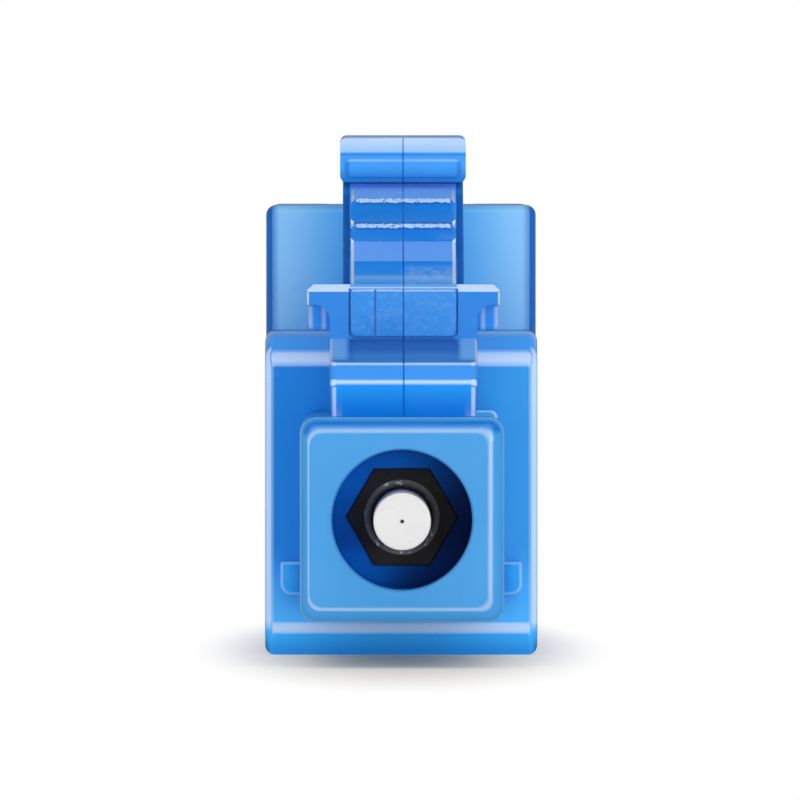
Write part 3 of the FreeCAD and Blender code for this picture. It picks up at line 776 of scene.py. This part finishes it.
# A painted highlight line where the nose's front face turns into its rounded rim
border_highlight = both(span(ahead, 0.999, 0.985), span(ahead, 0.94, 0.975),
              fade(spot[1], -14, -14.5), BORDER_HIGHLIGHT_SHARE)
lined = tint(border_highlight, surface.outputs["Colour"], BORDER_HIGHLIGHT)
# Painted shade inside the bore, lighter on the left wall and darker on the right, as if lit from the
# right
slant = reckon("SUBTRACT", spot[0], reckon("MULTIPLY", spot[2], BORE_SHADE_LEAN))
bore_shade = tint(fade(slant, -2.2, 0.1), BORE_LIT_LEFT, BORE_SHADE_RIGHT)
deep = both(fade(off_axis(spot), BORE_RADIUS + 0.04, BORE_RADIUS + 0.01),
            fade(spot[1], NOSE_FRONT + 0.02, NOSE_FRONT + 0.12))
feed(tint(deep, lined, bore_shade), shader, "Base Color")
dulled = either(deep, span(normal[2], 0.3, 0.7))
feed(span(dulled, 0, 1, NOSE_SHINE, NOSE_TOP_SHINE), shader, "Specular IOR Level")
wear(nose, nose_blue, "housing", "blue_housing", "plug_frame")

# Ferrule flange: black plastic moulded onto the ferrule, with a hexagonal head in front
# that sits in the nose's hexagonal hole, a shoulder for the spring, and a barrel behind.
HEX_FRONT, HEX_BACK = -12.1, -11.1
HEX_ACROSS = 2.11
HEX_ROUND = 0.03
SHOULDER_RADIUS = 1.45
SHOULDER_FRONT, SHOULDER_BACK = -11.15, -10.45
BARREL_RADIUS = 0.9
BARREL_FRONT, BARREL_BACK = -10.6, -7.45
BARREL_ROUND = 0.06
FLANGE_BORE, FLANGE_BORE_FRONT, FLANGE_BORE_BACK = 0.626, -13, -7
MOUTH_RADIUS = 0.825
MOUTH_THROAT = 0.65
MOUTH_DEPTH, MOUTH_FLOOR = 0.12, 0.45
BLACK_DIM, BLACK_CLEAR = (0.026, 0.022, 0.016), (0.034, 0.029, 0.022)
LIP_SHEEN_DIM, LIP_GLINT = (0.24, 0.235, 0.215), (0.95, 0.95, 0.93)
flange = start_rod("flange_head", HEX_ACROSS / math.sqrt(3), HEX_FRONT, HEX_BACK, 6, HEX_TURN)
round_edges(flange, HEX_ROUND, 2)
shoulder = start_rod("shoulder", SHOULDER_RADIUS, SHOULDER_FRONT, SHOULDER_BACK)
round_edges(shoulder, BARREL_ROUND, 3)
combine(flange, shoulder)
barrel = start_rod("barrel", BARREL_RADIUS, BARREL_FRONT, BARREL_BACK)
round_edges(barrel, BARREL_ROUND, 3)
combine(flange, barrel)
cut(flange, start_rod("flange_hole", FLANGE_BORE, FLANGE_BORE_FRONT, FLANGE_BORE_BACK))
mouth = start_rod("mouth", MOUTH_THROAT, HEX_FRONT + MOUTH_DEPTH, HEX_FRONT + MOUTH_FLOOR, 40)
pick_faces(mouth, looks_ahead)
push((0, -MOUTH_DEPTH - 0.001, 0))
widen(MOUTH_RADIUS / MOUTH_THROAT, MOUTH_RADIUS / MOUTH_THROAT)
cut(flange, mouth)
to_metres(flange, 30)
black, tree, shader = new_finish("black_flange")
coords, spot = place_in(tree)
fleck = noise(coords["Object"], 5200, 4, 0.7)
from_axis = off_axis(spot)
# The mouth's chamfer is painted grey as a reflection, with bright painted glints in it
lip = both(fade(from_axis, MOUTH_THROAT, MOUTH_RADIUS - 0.05),
           fade(from_axis, MOUTH_RADIUS + 0.005, MOUTH_RADIUS - 0.01))
plain = tint(span(fleck, 0.35, 0.75), BLACK_DIM, BLACK_CLEAR)
lip_sheen = tint(span(fleck, 0.55, 0.65), LIP_SHEEN_DIM, LIP_GLINT)
feed(tint(lip, plain, lip_sheen), shader, "Base Color")
feed(span(fleck, 0.3, 0.7, 0.38, 0.55), shader, "Roughness")
wear(flange, black, "ferrule_unit", "black_flange", "ferrule_flange")

# Ferrule: the white zirconia rod that carries the fibre, ground round and polished at both ends.
# Its tip stands out in front of the nose, and the black flange is moulded round it further back.
FERRULE_RADIUS = 0.625
FERRULE_TIP = -16.55
FERRULE_END = 5.05
FERRULE_ROUND = 0.05
CORE_RADIUS, CORE_FRONT, CORE_BACK = 0.0625, -18, 7
ferrule = start_rod("ferrule_rod", FERRULE_RADIUS, FERRULE_TIP, FERRULE_END, 64)
for end in (FERRULE_TIP, FERRULE_END):
    bevel(ferrule, FERRULE_ROUND, 4, lambda a, b: at(a.y, end) and at(b.y, end))
cut(ferrule, start_rod("core_hole", CORE_RADIUS, CORE_FRONT, CORE_BACK, 24))
to_metres(ferrule)
wear(ferrule, ceramic, "ferrule_unit", "white_ceramic", "ferrule")

# Doped fibre: a hair of glass that weakens the light, cemented in the ferrule's bore.
# The solid's own shape is right, so it stays and gets a dark polished glass finish.
FIBRE_DARK, FIBRE_EDGE = (0.02, 0.02, 0.02), (0.6, 0.6, 0.6)
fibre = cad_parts["doped_fibre"]
glass, tree, shader = new_finish("fibre_end")
_, spot = place_in(tree)
feed(tint(fade(off_axis(spot), 0.03, 0.055), FIBRE_DARK, FIBRE_EDGE), shader, "Base Color")
shader.inputs["Roughness"].default_value = 0.15
fibre.data.materials.clear()
fibre.data.materials.append(glass)

# Latch: the sprung arm moulded in one with the plug frame, which bends where its root ends.
# It has a catch with two locking wings, a stepped grip on its tail, and a thumb bar at its end.
ARM_HALF = 1.625
ARM_RISE = 0.2
ARM_STEP = 1.85
ARM_THICK = 0.55
ARM_ROUND = 0.075
ROOT_FRONT, ROOT_BACK = -12.75, -12.3
ROOT_TOP = NOSE_TOP + 1.11
ROOT_CHAMFER, ROOT_CORNER = 0.36, 0.16
BEND = -11.45
FOOT = NOSE_TOP + 1.68
latch = start_block("latch", (-ARM_HALF, ROOT_FRONT, NOSE_TOP - 0.1), (ARM_HALF, BEND, ROOT_TOP))
split((0, 0, ROOT_TOP - ARM_THICK), (0, 0, 1))
pick_edges(latch, crossing(BEND, ROOT_TOP))
shift((0, 0, 0.9 * ARM_RISE))
pick_faces(latch, lambda middle, normal: looks_back(middle, normal) and middle.z > ROOT_TOP - 0.5)
for _ in range(2):
    push((0, ARM_STEP, ARM_STEP * ARM_RISE))
bevel(latch, ROOT_CHAMFER, 1, crossing(ROOT_FRONT, ROOT_TOP))
bevel(latch, ROOT_CORNER, 8, lambda a, b: on_side(a, b, ARM_HALF) and a.y < ROOT_BACK and b.y < ROOT_BACK)
round_edges(latch, ARM_ROUND, 4, 25)

# The catch is a plate with two wings, whose outer corners are cut off, and a block behind them
CATCH_FRONT = -9.55
CATCH_BACK = -7.65
CATCH_TOP = NOSE_TOP + 2.865
CATCH_HALF = ARM_HALF + 0.008
CATCH_ROUND = 0.04
PLATE_BACK = -8.9
WING_HALF = 2.135
WING_UNDER = CATCH_TOP - 0.465
WING_FILLET = 0.32
WING_CHAMFER = 0.175
WING_CORNER = 0.14
WING_END_ROUND = 0.06
SKIRT_LOW, SKIRT_TOP = NOSE_TOP + 1.85, CATCH_TOP - 0.02
SKIRT_HALF = WING_HALF - 0.03
SKIRT_FRONT = -9.05
SKIRT_CORNER, SKIRT_ROUND = 0.28, 0.13
catch = start_block("catch", (-CATCH_HALF, CATCH_FRONT, FOOT - 0.1), (CATCH_HALF, PLATE_BACK, CATCH_TOP))
split((0, 0, WING_UNDER), (0, 0, 1))
for side in (-1, 1):
    pick_faces(catch, lambda middle, normal: normal.x * side > 0.9 and middle.z > WING_UNDER)
    push((side * (WING_HALF - CATCH_HALF), 0, 0))
merge_flats()
bevel(catch, WING_FILLET, 6, lambda a, b: on_side(a, b, CATCH_HALF)
      and at(a.z, WING_UNDER) and at(b.z, WING_UNDER))
bevel(catch, WING_CHAMFER, 1, crossing(CATCH_FRONT, CATCH_TOP), kind=CHAMFER)
for side in (-1, 1):
    pick_all()
    bpy.ops.mesh.bisect(plane_co=(side * WING_HALF, 0, CATCH_TOP - WING_CORNER), plane_no=(side, 0, 1),
                        use_fill=True, clear_outer=True)
bevel(catch, WING_END_ROUND, 4, lambda a, b: on_side(a, b, WING_HALF)
      and at(a.y, CATCH_FRONT) and at(b.y, CATCH_FRONT), kind=RIM)
round_edges(catch, CATCH_ROUND, 3, kind=PLAIN)
combine(latch, catch)
wing_block = start_block("wing_block", (-SKIRT_HALF, SKIRT_FRONT, SKIRT_LOW),
                         (SKIRT_HALF, CATCH_BACK, SKIRT_TOP))
bevel(wing_block, SKIRT_CORNER, 6, lambda a, b: abs(a.z - b.z) > 0.5)
round_edges(wing_block, SKIRT_ROUND, 4, 40, PLAIN)
combine(latch, wing_block)

# The pad fills a pocket in the catch's front, with a groove round it and a mould line at its left
PAD_HALF = 1.165
PAD_LOW = FOOT + 0.03
PAD_TOP = CATCH_TOP - 0.115
PAD_FRONT, PAD_BACK = CATCH_FRONT - 0.08, -9.2
PAD_CORNER, PAD_BRINK, PAD_ROUND = 0.13, 0.055, 0.03
PAD_GROOVE = 0.045
POCKET_HALF = PAD_HALF + PAD_GROOVE
POCKET_LOW = PAD_LOW - PAD_GROOVE
POCKET_CORNER = 0.16
MOULD_LEFT, MOULD_RIGHT = -0.65, -0.6


def is_low_corner(a, b, low):
    return at(a.z, low) and at(b.z, low) and runs_back(a, b)


pocket = start_block("pocket", (-POCKET_HALF, PAD_FRONT - 0.1, POCKET_LOW),
                     (POCKET_HALF, CATCH_FRONT + 0.08, CATCH_TOP + 0.2))
bevel(pocket, POCKET_CORNER, 5, lambda a, b: is_low_corner(a, b, POCKET_LOW))
cut(latch, pocket)
pad = start_block("pad", (-PAD_HALF, PAD_FRONT, PAD_LOW), (PAD_HALF, PAD_BACK, PAD_TOP))
bevel(pad, PAD_CORNER, 5, lambda a, b: is_low_corner(a, b, PAD_LOW))
bevel(pad, PAD_BRINK, 3, crossing(PAD_FRONT, PAD_TOP), kind=RIM)
round_edges(pad, PAD_ROUND, 2, 40, PLAIN)
mould_line = start_block("mould_line", (MOULD_LEFT, PAD_FRONT - 0.1, PAD_LOW - 0.1),
                         (MOULD_RIGHT, PAD_FRONT + 0.05, PAD_TOP + 0.1))
cut(pad, mould_line)
combine(latch, pad)

# The tail slopes up and back from the catch to the thumb bar
TAIL_HALF = 1.35
TAIL_SLOPE = 0.587
TAIL_FRONT = -8.4
TAIL_RUN = 5.3
TAIL_THICK = 0.85
TAIL_ROUND = 0.08
TAIL_TOP = NOSE_TOP + 4.94 - 3.9 * TAIL_SLOPE - 0.44
tail = start_block("tail", (-TAIL_HALF, TAIL_FRONT, TAIL_TOP - TAIL_THICK),
                   (TAIL_HALF, TAIL_FRONT + 0.1, TAIL_TOP))
pick_faces(tail, looks_back)
push((0, TAIL_RUN, TAIL_RUN * TAIL_SLOPE))
round_edges(tail, TAIL_ROUND, 3, kind=PLAIN)
combine(latch, tail)

# The grip's profile, as runs and rises from the catch's top back and up to the thumb bar,
# and the two step noses that are burred
STEP_HALF = 1.17
STEPS = ((0.9, 0.26), (0.7, 0.31), (0.25, 0.03), (0.85, 0.43), (0.05, 0.36), (0.93, 0.06),
         (0.05, 0.50), (1.25, 0.26))
STEP_CHAMFER, STEP_ROUND = 0.08, 0.03
RIB_FRONT = -9.0
RIB_LOW, RIB_TOP = 7.9, 8.24
LOW_NOSE = (-6.15, 9.63)
HIGH_NOSE = (-5.17, 10.19)
BURR_HALF = 1.04
BURR_DEPTH, BURR_UNDER, BURR_OVER = 0.06, 0.055, 0.025
BURR_CUTS = 48
BURR_ROUGHNESS = 0.024
rib = start_block("rib", (-STEP_HALF, RIB_FRONT, RIB_LOW), (STEP_HALF, RIB_FRONT + 0.1, RIB_TOP))
pick_faces(rib, looks_back)
for run, rise in STEPS:
    push((0, run, rise))
bevel(rib, STEP_CHAMFER, 1, lambda a, b: on_side(a, b, STEP_HALF) and runs_back(a, b)
      and a.z > 8 and b.z > 8, kind=CHAMFER)
round_edges(rib, STEP_ROUND, 2, 25, PLAIN)
combine(latch, rib)
for back, height in (LOW_NOSE, HIGH_NOSE):
    burr = start_block("burr", (-BURR_HALF, back - BURR_DEPTH, height - BURR_UNDER),
                       (BURR_HALF, back + BURR_DEPTH, height + BURR_OVER))
    pick_edges(burr, lambda a, b: abs(a.x - b.x) > 1)
    bpy.ops.mesh.subdivide(number_cuts=BURR_CUTS)
    pick_all()
    bpy.ops.transform.vertex_random(offset=BURR_ROUGHNESS, seed=round(height))
    burr.active_material_index = BURR
    bpy.ops.object.material_slot_assign()
    combine(latch, burr)

# The thumb bar has a sloped upper front, and a slightly raised panel below the crease
BAR_HALF = 1.41
BAR_FRONT = -3.75
BAR_BACK = -2.45
BAR_LOW = NOSE_TOP + 5.11
BAR_CREASE = NOSE_TOP + 5.77
BAR_TOP = NOSE_TOP + 6.17
BAR_LEAN = (0, 0.18, -0.06)
BAR_CORNER, BAR_ROUND = 0.14, 0.04
BAR_BORDER = 0.12
PANEL_HALF = BAR_HALF - BAR_BORDER
PANEL_FRONT = BAR_FRONT - 0.05
PANEL_LOW, PANEL_TOP = BAR_LOW + BAR_BORDER, BAR_CREASE - BAR_BORDER
PANEL_BRINK = 0.045


def is_bar_side(a, b):
    return on_side(a, b, BAR_HALF) and abs(a.y - b.y) > 0.3 and not at(a.z, BAR_CREASE)


def is_bar_brim(a, b):
    lowest, furthest = min(a.z, b.z), max(a.y, b.y)
    return lowest > BAR_TOP - 0.1 and furthest < BAR_FRONT + 0.25 and abs(a.x - b.x) > 1


bar = start_block("bar", (-BAR_HALF, BAR_FRONT, BAR_LOW), (BAR_HALF, BAR_BACK, BAR_TOP))
split((0, 0, BAR_CREASE), (0, 0, 1))
pick_edges(bar, crossing(BAR_FRONT, BAR_TOP))
shift(BAR_LEAN)
bevel(bar, BAR_CORNER, 4, is_bar_side)
bevel(bar, BAR_ROUND, 4, is_bar_brim, kind=RIM)
round_edges(bar, BAR_ROUND, 3, 35, PLAIN)
bar_panel = start_block("bar_panel", (-PANEL_HALF, PANEL_FRONT, PANEL_LOW),
                        (PANEL_HALF, BAR_FRONT + 0.1, PANEL_TOP))
bevel(bar_panel, BAR_CORNER, 6, runs_back)
bevel(bar_panel, PANEL_BRINK, 4, crossing(PANEL_FRONT, PANEL_TOP), kind=RIM)
round_edges(bar_panel, BAR_ROUND, 3, 35, PLAIN)
combine(bar, bar_panel)
combine(latch, bar)

# A fine parting line runs up the middle, where the two halves of the mould met. The arm is cut
# across where it bends, and the whole latch stands a little to the right of the nose's middle
LINE_HALF = 0.022
LINE_DEPTH = 0.03
BEND_CUTS = (-11.7, -11.5, -11.3, -11.1, -10.9, -10.7)
LATCH_ASIDE = 0.04
bpy.ops.object.mode_set(mode="EDIT")
for across in (-LINE_HALF, 0, LINE_HALF):
    split((across, 0, 0), (1, 0, 0))
bpy.ops.mesh.select_mode(type="VERT")
bpy.ops.mesh.select_all(action="DESELECT")
shape = bmesh.from_edit_mesh(latch.data)
for corner in shape.verts:
    seen = corner.normal.y < -0.15 or corner.normal.z > 0.3
    corner.select_set(abs(corner.co.x) < NEAR and seen)
bmesh.update_edit_mesh(latch.data)
bpy.ops.transform.shrink_fatten(value=-LINE_DEPTH)
for place in BEND_CUTS:
    split((0, place, 0), (0, 1, 0))
bpy.ops.object.mode_set(mode="OBJECT")
parting = latch.data.attributes.new("parting", "FLOAT", "POINT")
for corner, entry in zip(latch.data.vertices, parting.data):
    entry.value = float(abs(corner.co.x) < NEAR and corner.co.y < BAR_FRONT + 0.75)
choose(latch)
bpy.ops.object.mode_set(mode="EDIT")
pick_all()
shift((LATCH_ASIDE, 0, 0))
to_metres(latch, 30)

# The latch's colour changes along it, mostly painted light and shade for how each part faces the lamps,
# so its parts are told apart by their places in millimetres
RIB_ZONE, TAIL_ZONE, PATCH_ZONE = (-8.95, -3.4), (-8.3, -3.8), (-8.95, -7.5, 0.1)
PAD_ZONE, PAD_FACE, SKIRT_ZONE = (-9.7, -9.1), (-9.7, -9.3), (-9.2, -7.6)
ARM_ZONE, ARM_SIDE_ZONE = (-11.6, -9.4, 0.4), (-11.9, -9.4, 0.3)
# Each grip zone: its front, its back, its softness and the tone that paints its light and shade
TREAD_LIGHT_AND_SHADE = ((-7.1, -6.2, 0.04, (0.12, 0.35, 0.92)), (-7.85, -7.2, 0.12, (0.008, 0.26, 0.95)),
          (-8.95, -7.95, 0.12, (0.11, 0.42, 1.0)), (-5.1, -4.1, 0.04, (0.16, 0.42, 1.0)),
          (-4.1, -3.4, 0.04, (0.16, 0.38, 1.0)))
LATCH_BLUE, LATCH_STREAK_AND_HIGHLIGHT = (0.026, 0.205, 0.63), (0.58, 0.74, 1)
ROOT_BLUE, ROOT_SLOPE_LIT, ROOT_FOOT_SHADE = (0.006, 0.3, 0.82), (0.05, 0.29, 0.84), (0.004, 0.15, 0.56)
ARM_LIT_FRONT, ARM_SHADED_BACK, ARM_SIDE_LIGHT = (0.075, 0.26, 0.78), (0.02, 0.11, 0.48), (0.18, 0.46, 0.92)
PAD_BLUE, PAD_BROW_HIGHLIGHT = (0.03, 0.235, 0.67), (0.1, 0.36, 0.95)
SKIRT_BLUE, TAIL_SIDE_SHADE, RISER_SHADE = (0.02, 0.25, 0.8), (0.003, 0.12, 0.50), (0.001, 0.165, 0.57)
BAR_SHADE, BAR_LIT = (0.008, 0.16, 0.55), (0.045, 0.3, 0.78)
CREASE_SHADE, BAR_ROOF_LIT = (0.02, 0.2, 0.64), (0.2, 0.38, 0.95)
GLEAM = (0.66, 0.78, 0.96)
PANEL_GLEAM, SPECK_GLEAM, BURR_GLINT_SHARE = 0.3, 0.09, 0.62
STREAK_GLEAM, PATCH_SHARE, ROOT_GLEAM = 0.45, 0.22, 0.55
LINE_SHADE, LINE_SHADE_SHARE = (0.01, 0.12, 0.5), 0.6
LATCH_SHINE, LATCH_TOP_SHINE = 0.18, 0.03


def within(value, low, high, soft=0.04):
    """A mask that is one between two places in millimetres, with soft ends."""
    return both(fade(value, low - soft, low + soft), fade(value, high + soft, high - soft))


latch_blue, tree, shader, surface = blue_plastic("latch_blue", 0.85, 0.015)
# The latch's pale colour, for its flow streaks and its painted edge highlight
surface.inputs["Streak_And_Highlight"].default_value = (*LATCH_STREAK_AND_HIGHLIGHT, 1)
coords, spot = place_in(tree)
ahead, normal = facing(coords)
off_middle = reckon("ABSOLUTE", reckon("SUBTRACT", spot[0], LATCH_ASIDE * MM))
on_top = span(normal[2], 0.6, 0.9)
on_rib = both(fade(off_middle, 1.2, 1.17), within(spot[1], *RIB_ZONE),
              fade(spot[2], BAR_LOW + 0.01, BAR_LOW - 0.02))
# The grip's front-facing risers are painted in shade
riser_shade = both(on_rib, span(ahead, 0.6, 0.85), fade(spot[1], -6.7, -6.5))
# The tail's margins beside the grip are painted in shade under the thumb bar
tail_side_shade = both(fade(off_middle, 1.18, 1.22), within(spot[1], *TAIL_ZONE))
across_pad = fade(off_middle, 1.19, 1.17)
on_pad = both(within(spot[1], *PAD_ZONE), across_pad)
pad_face = both(within(spot[1], *PAD_FACE), across_pad)
skirt = both(within(spot[1], *SKIRT_ZONE), fade(off_middle, 1.6, 1.65),
             fade(spot[2], WING_UNDER, WING_UNDER - 0.05))
# The arm slope is painted lighter at its front and in shade towards the catch, with its sides painted
# lighter as a reflection
arm = both(within(spot[1], *ARM_ZONE), fade(off_middle, 1.45, 1.2), on_top)
arm_side_light = both(within(spot[1], *ARM_SIDE_ZONE), fade(off_middle, 1.15, 1.32), on_top)
arm_shading = tint(fade(spot[1], -11.9, -10.6), ARM_LIT_FRONT, ARM_SHADED_BACK)
root = fade(spot[1], ROOT_BACK, ROOT_BACK - 0.1)
# The root's up-facing chamfer is painted lighter, and its foot is painted in shade where it meets the
# nose
root_blue = tint(span(normal[2], 0.3, 0.6), ROOT_BLUE, ROOT_SLOPE_LIT)
root_foot_shade = both(fade(spot[1], ROOT_BACK - 0.1, ROOT_BACK - 0.2), fade(spot[2], 6.4, 5.5), 0.8)
# The thumb bar's front is painted in shade at its bottom and lighter higher up, with painted shade in its
# crease and its top faces painted lighter
bar_shading = tint(fade(spot[2], BAR_LOW, BAR_LOW + 0.4), BAR_SHADE, BAR_LIT)
crease = within(spot[2], BAR_CREASE - 0.06, BAR_CREASE - 0.02, 0.03)
bar_shading = tint(crease, bar_shading, CREASE_SHADE)
bar_shading = tint(span(normal[2], 0.9, 0.98), bar_shading, BAR_ROOF_LIT)
on_bar = fade(spot[1], BAR_FRONT - 0.2, BAR_FRONT - 0.1)
colour = LATCH_BLUE
for mask, shade in ((root, root_blue), (on_bar, bar_shading), (root_foot_shade, ROOT_FOOT_SHADE), (arm, arm_shading),
                    (arm_side_light, ARM_SIDE_LIGHT), (tail_side_shade, TAIL_SIDE_SHADE), (pad_face, PAD_BLUE),
                    (skirt, SKIRT_BLUE)):
    colour = tint(mask, colour, shade)
for front, back, soft, shade in TREAD_LIGHT_AND_SHADE:
    tread = both(on_rib, within(spot[1], front, back, soft))
    colour = tint(tread, colour, shade)
tree.links.new(tint(riser_shade, colour, RISER_SHADE), surface.inputs["Colour"])

specks = span(noise(coords["Object"], 9500, 5, 0.75), 0.42, 0.75)
glint_noise = span(noise(coords["Object"], 14000, 4, 0.7), 0.32, 0.5)
patch_noise = span(noise(coords["Object"], 5200, 6, 0.75), 0.34, 0.66)
bar_slope = both(fade(spot[2], BAR_CREASE, BAR_CREASE + 0.02),
                 span(normal[2], 0.9, 0.6), fade(spot[2], BAR_CREASE, BAR_TOP, 0.35, 0.75))
panel_line = both(within(spot[2], PANEL_TOP - 0.07, PANEL_TOP - 0.03, 0.03),
                  fade(spot[1], BAR_FRONT - 0.02, BAR_FRONT - 0.04),
                  fade(spot[1], BAR_FRONT - 0.12, BAR_FRONT - 0.08), PANEL_GLEAM)
speckled = both(on_pad, specks, SPECK_GLEAM)
# Painted white glints on the burred step noses
burr_glints = both(marked(tree, "burr"), glint_noise, BURR_GLINT_SHARE)
streaks = either(within(off_middle, 1.72, 1.8, 0.05), within(off_middle, 2.02, 2.12, 0.05))
streaked = both(skirt, streaks, STREAK_GLEAM)
# Noisy pale patches on the right half of the grip's lowest slopes
pale_patches = both(on_rib, within(spot[1], *PATCH_ZONE), patch_noise, fade(spot[0], -0.1, 0.3), PATCH_SHARE)
root_line = both(span(ahead, 0.9995, 0.985), span(ahead, 0.68, 0.86),
                 span(normal[2], 0.05, 0.02), fade(spot[1], ROOT_BACK, ROOT_BACK - 0.2),
                 fade(off_middle, 1.3, 1.4), ROOT_GLEAM)
# Painted highlights on the bar's sloped top, the panel's upper edge, the pad, the burrs, the wing skirts
# and the root's edges, with the pale patches, all mixed towards one pale colour
gleam = either(bar_slope, panel_line, speckled, burr_glints, streaked, pale_patches, root_line)
shown = tint(gleam, surface.outputs["Colour"], GLEAM)
# A painted highlight on the chamfer along the pad's top
pad_brow_highlight = both(marked(tree, "chamfer"), pad_face, fade(spot[2], CATCH_TOP - 0.08, CATCH_TOP - 0.06))
shown = tint(pad_brow_highlight, shown, PAD_BROW_HIGHLIGHT)
root_side = both(root, span(reckon("ABSOLUTE", normal[0]), 0.75, 0.95))
shown = tint(root_side, shown, LATCH_BLUE)
# Painted shade in the parting line's groove
shown = tint(both(marked(tree, "parting"), LINE_SHADE_SHARE), shown, LINE_SHADE)
feed(shown, shader, "Base Color")
dulled = both(span(normal[2], 0.3, 0.8), fade(spot[1], -9.2, -9))
feed(span(dulled, 0, 1, LATCH_SHINE, LATCH_TOP_SHINE), shader, "Specular IOR Level")
wear(latch, latch_blue, None, "blue_housing", "latch_arm")
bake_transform(latch)

# Studio: a white paper floor that fades into the backdrop, a softbox overhead and strips of light
# round the camera, which stands a forearm's length in front, just above the plug.
FLOOR_SIZE = 8
SHADE_ACROSS, SHADE_ALONG = 5, 34
PAPER_DIM, PAPER_CLEAR, PAPER_WARM = (0.96, 0.94, 0.89), (0.98, 0.96, 0.91), (0.95, 0.86, 0.74)
SHINE = 0.12
clear_bench()
bpy.ops.mesh.primitive_plane_add(size=FLOOR_SIZE, location=(0, 0, 0))
floor = bpy.context.object
floor.name = "floor"
paper, tree, shader = new_finish("floor_paper")
coords, spot = place_in(tree)
tooth = noise(coords["Object"], 60, 3)
shader.inputs["Roughness"].default_value = 0.9
shader.inputs["Specular IOR Level"].default_value = 0
across = reckon("POWER", reckon("DIVIDE", spot[0], SHADE_ACROSS * MM), 2)
along = reckon("POWER", reckon("DIVIDE", spot[1], SHADE_ALONG * MM), 2)
far = span(reckon("ADD", across, along), -0.1, 0.95)
plain = tint(tooth, PAPER_DIM, PAPER_CLEAR)
feed(tint(span(far, 0.1, 0.7), PAPER_WARM, plain), shader, "Base Color")
glow = tree.nodes.new("ShaderNodeEmission")
blend = tree.nodes.new("ShaderNodeMixShader")
tree.links.new(far, blend.inputs[0])
tree.links.new(shader.outputs[0], blend.inputs[1])
tree.links.new(glow.outputs[0], blend.inputs[2])
rays = tree.nodes.new("ShaderNodeLightPath").outputs
dull = tree.nodes.new("ShaderNodeEmission")
dull.inputs["Strength"].default_value = SHINE
mirrored = tree.nodes.new("ShaderNodeMixShader")
tree.links.new(rays["Is Glossy Ray"], mirrored.inputs[0])
tree.links.new(blend.outputs[0], mirrored.inputs[1])
tree.links.new(dull.outputs[0], mirrored.inputs[2])
tree.links.new(mirrored.outputs[0], tree.nodes["Material Output"].inputs["Surface"])
floor.data.materials.append(paper)

SKY_LIGHT = 0.32
BACKDROP = 0.38
world = bpy.data.worlds.new("sky")
bpy.context.scene.world = world
world.use_nodes = True
tree = world.node_tree
sky = tree.nodes["Background"]
sky.inputs["Color"].default_value = (1, 1, 1, 1)
rays = tree.nodes.new("ShaderNodeLightPath").outputs
way = tree.nodes.new("ShaderNodeSeparateXYZ")
tree.links.new(tree.nodes.new("ShaderNodeTexCoord").outputs["Generated"], way.inputs[0])
shine = both(rays["Is Glossy Ray"], span(way.outputs[1], 0, 0.2, SHINE, BACKDROP))
dim = both(reckon("SUBTRACT", 1, rays["Is Glossy Ray"]), SKY_LIGHT)
tree.links.new(either(reckon("ADD", dim, shine), rays["Is Camera Ray"]), sky.inputs["Strength"])

LAMP_DISTANCE = 0.4
LAMP_AIM = Vector((0, -0.008, 0.005))


def panel(name, azimuth, elevation, size, radiance):
    """A soft light panel that looks at the object from a direction, sizes in metres."""
    a, e = math.radians(azimuth), math.radians(elevation)
    away = Vector((math.sin(a) * math.cos(e), -math.cos(a) * math.cos(e), math.sin(e)))
    light = bpy.data.lights.new(name, "AREA")
    light.shape = "RECTANGLE"
    light.size, light.size_y = size
    light.energy = radiance * math.pi * size[0] * size[1]
    lamp = bpy.data.objects.new(name, light)
    lamp.location = LAMP_AIM + away * LAMP_DISTANCE
    lamp.rotation_euler = away.to_track_quat("Z", "Y").to_euler()
    bpy.context.scene.collection.objects.link(lamp)
    return lamp


panel("key", 0, 47, (0.5, 0.2), 1.9)
panel("right_strip", 30, 10, (0.07, 0.25), 7)
panel("left_strip", -34, 6, (0.04, 0.22), 7)
fill = panel("fill", 3, 1, (0.32, 0.02), 20.7)
fill.visible_glossy = False

VIEW_DISTANCE = 350
VIEW_HEIGHT = 10.75
VIEW_AIM = 5.857
VIEW_SHIFT = -0.6
VIEW_TURN = 0.0909
SENSOR_WIDTH = 36
FOCAL_LENGTH = 724.5
lens = bpy.data.cameras.new("camera")
lens.sensor_width = SENSOR_WIDTH
lens.lens = FOCAL_LENGTH
lens.clip_start = 0.01
camera = bpy.data.objects.new("camera", lens)
camera.location = (VIEW_SHIFT * MM, (NOSE_FRONT - VIEW_DISTANCE) * MM, VIEW_HEIGHT * MM)
camera.rotation_euler = (math.radians(90) - math.atan((VIEW_HEIGHT - VIEW_AIM) / VIEW_DISTANCE), 0,
                         -math.radians(VIEW_TURN))
bpy.context.scene.collection.objects.link(camera)
bpy.context.scene.camera = camera
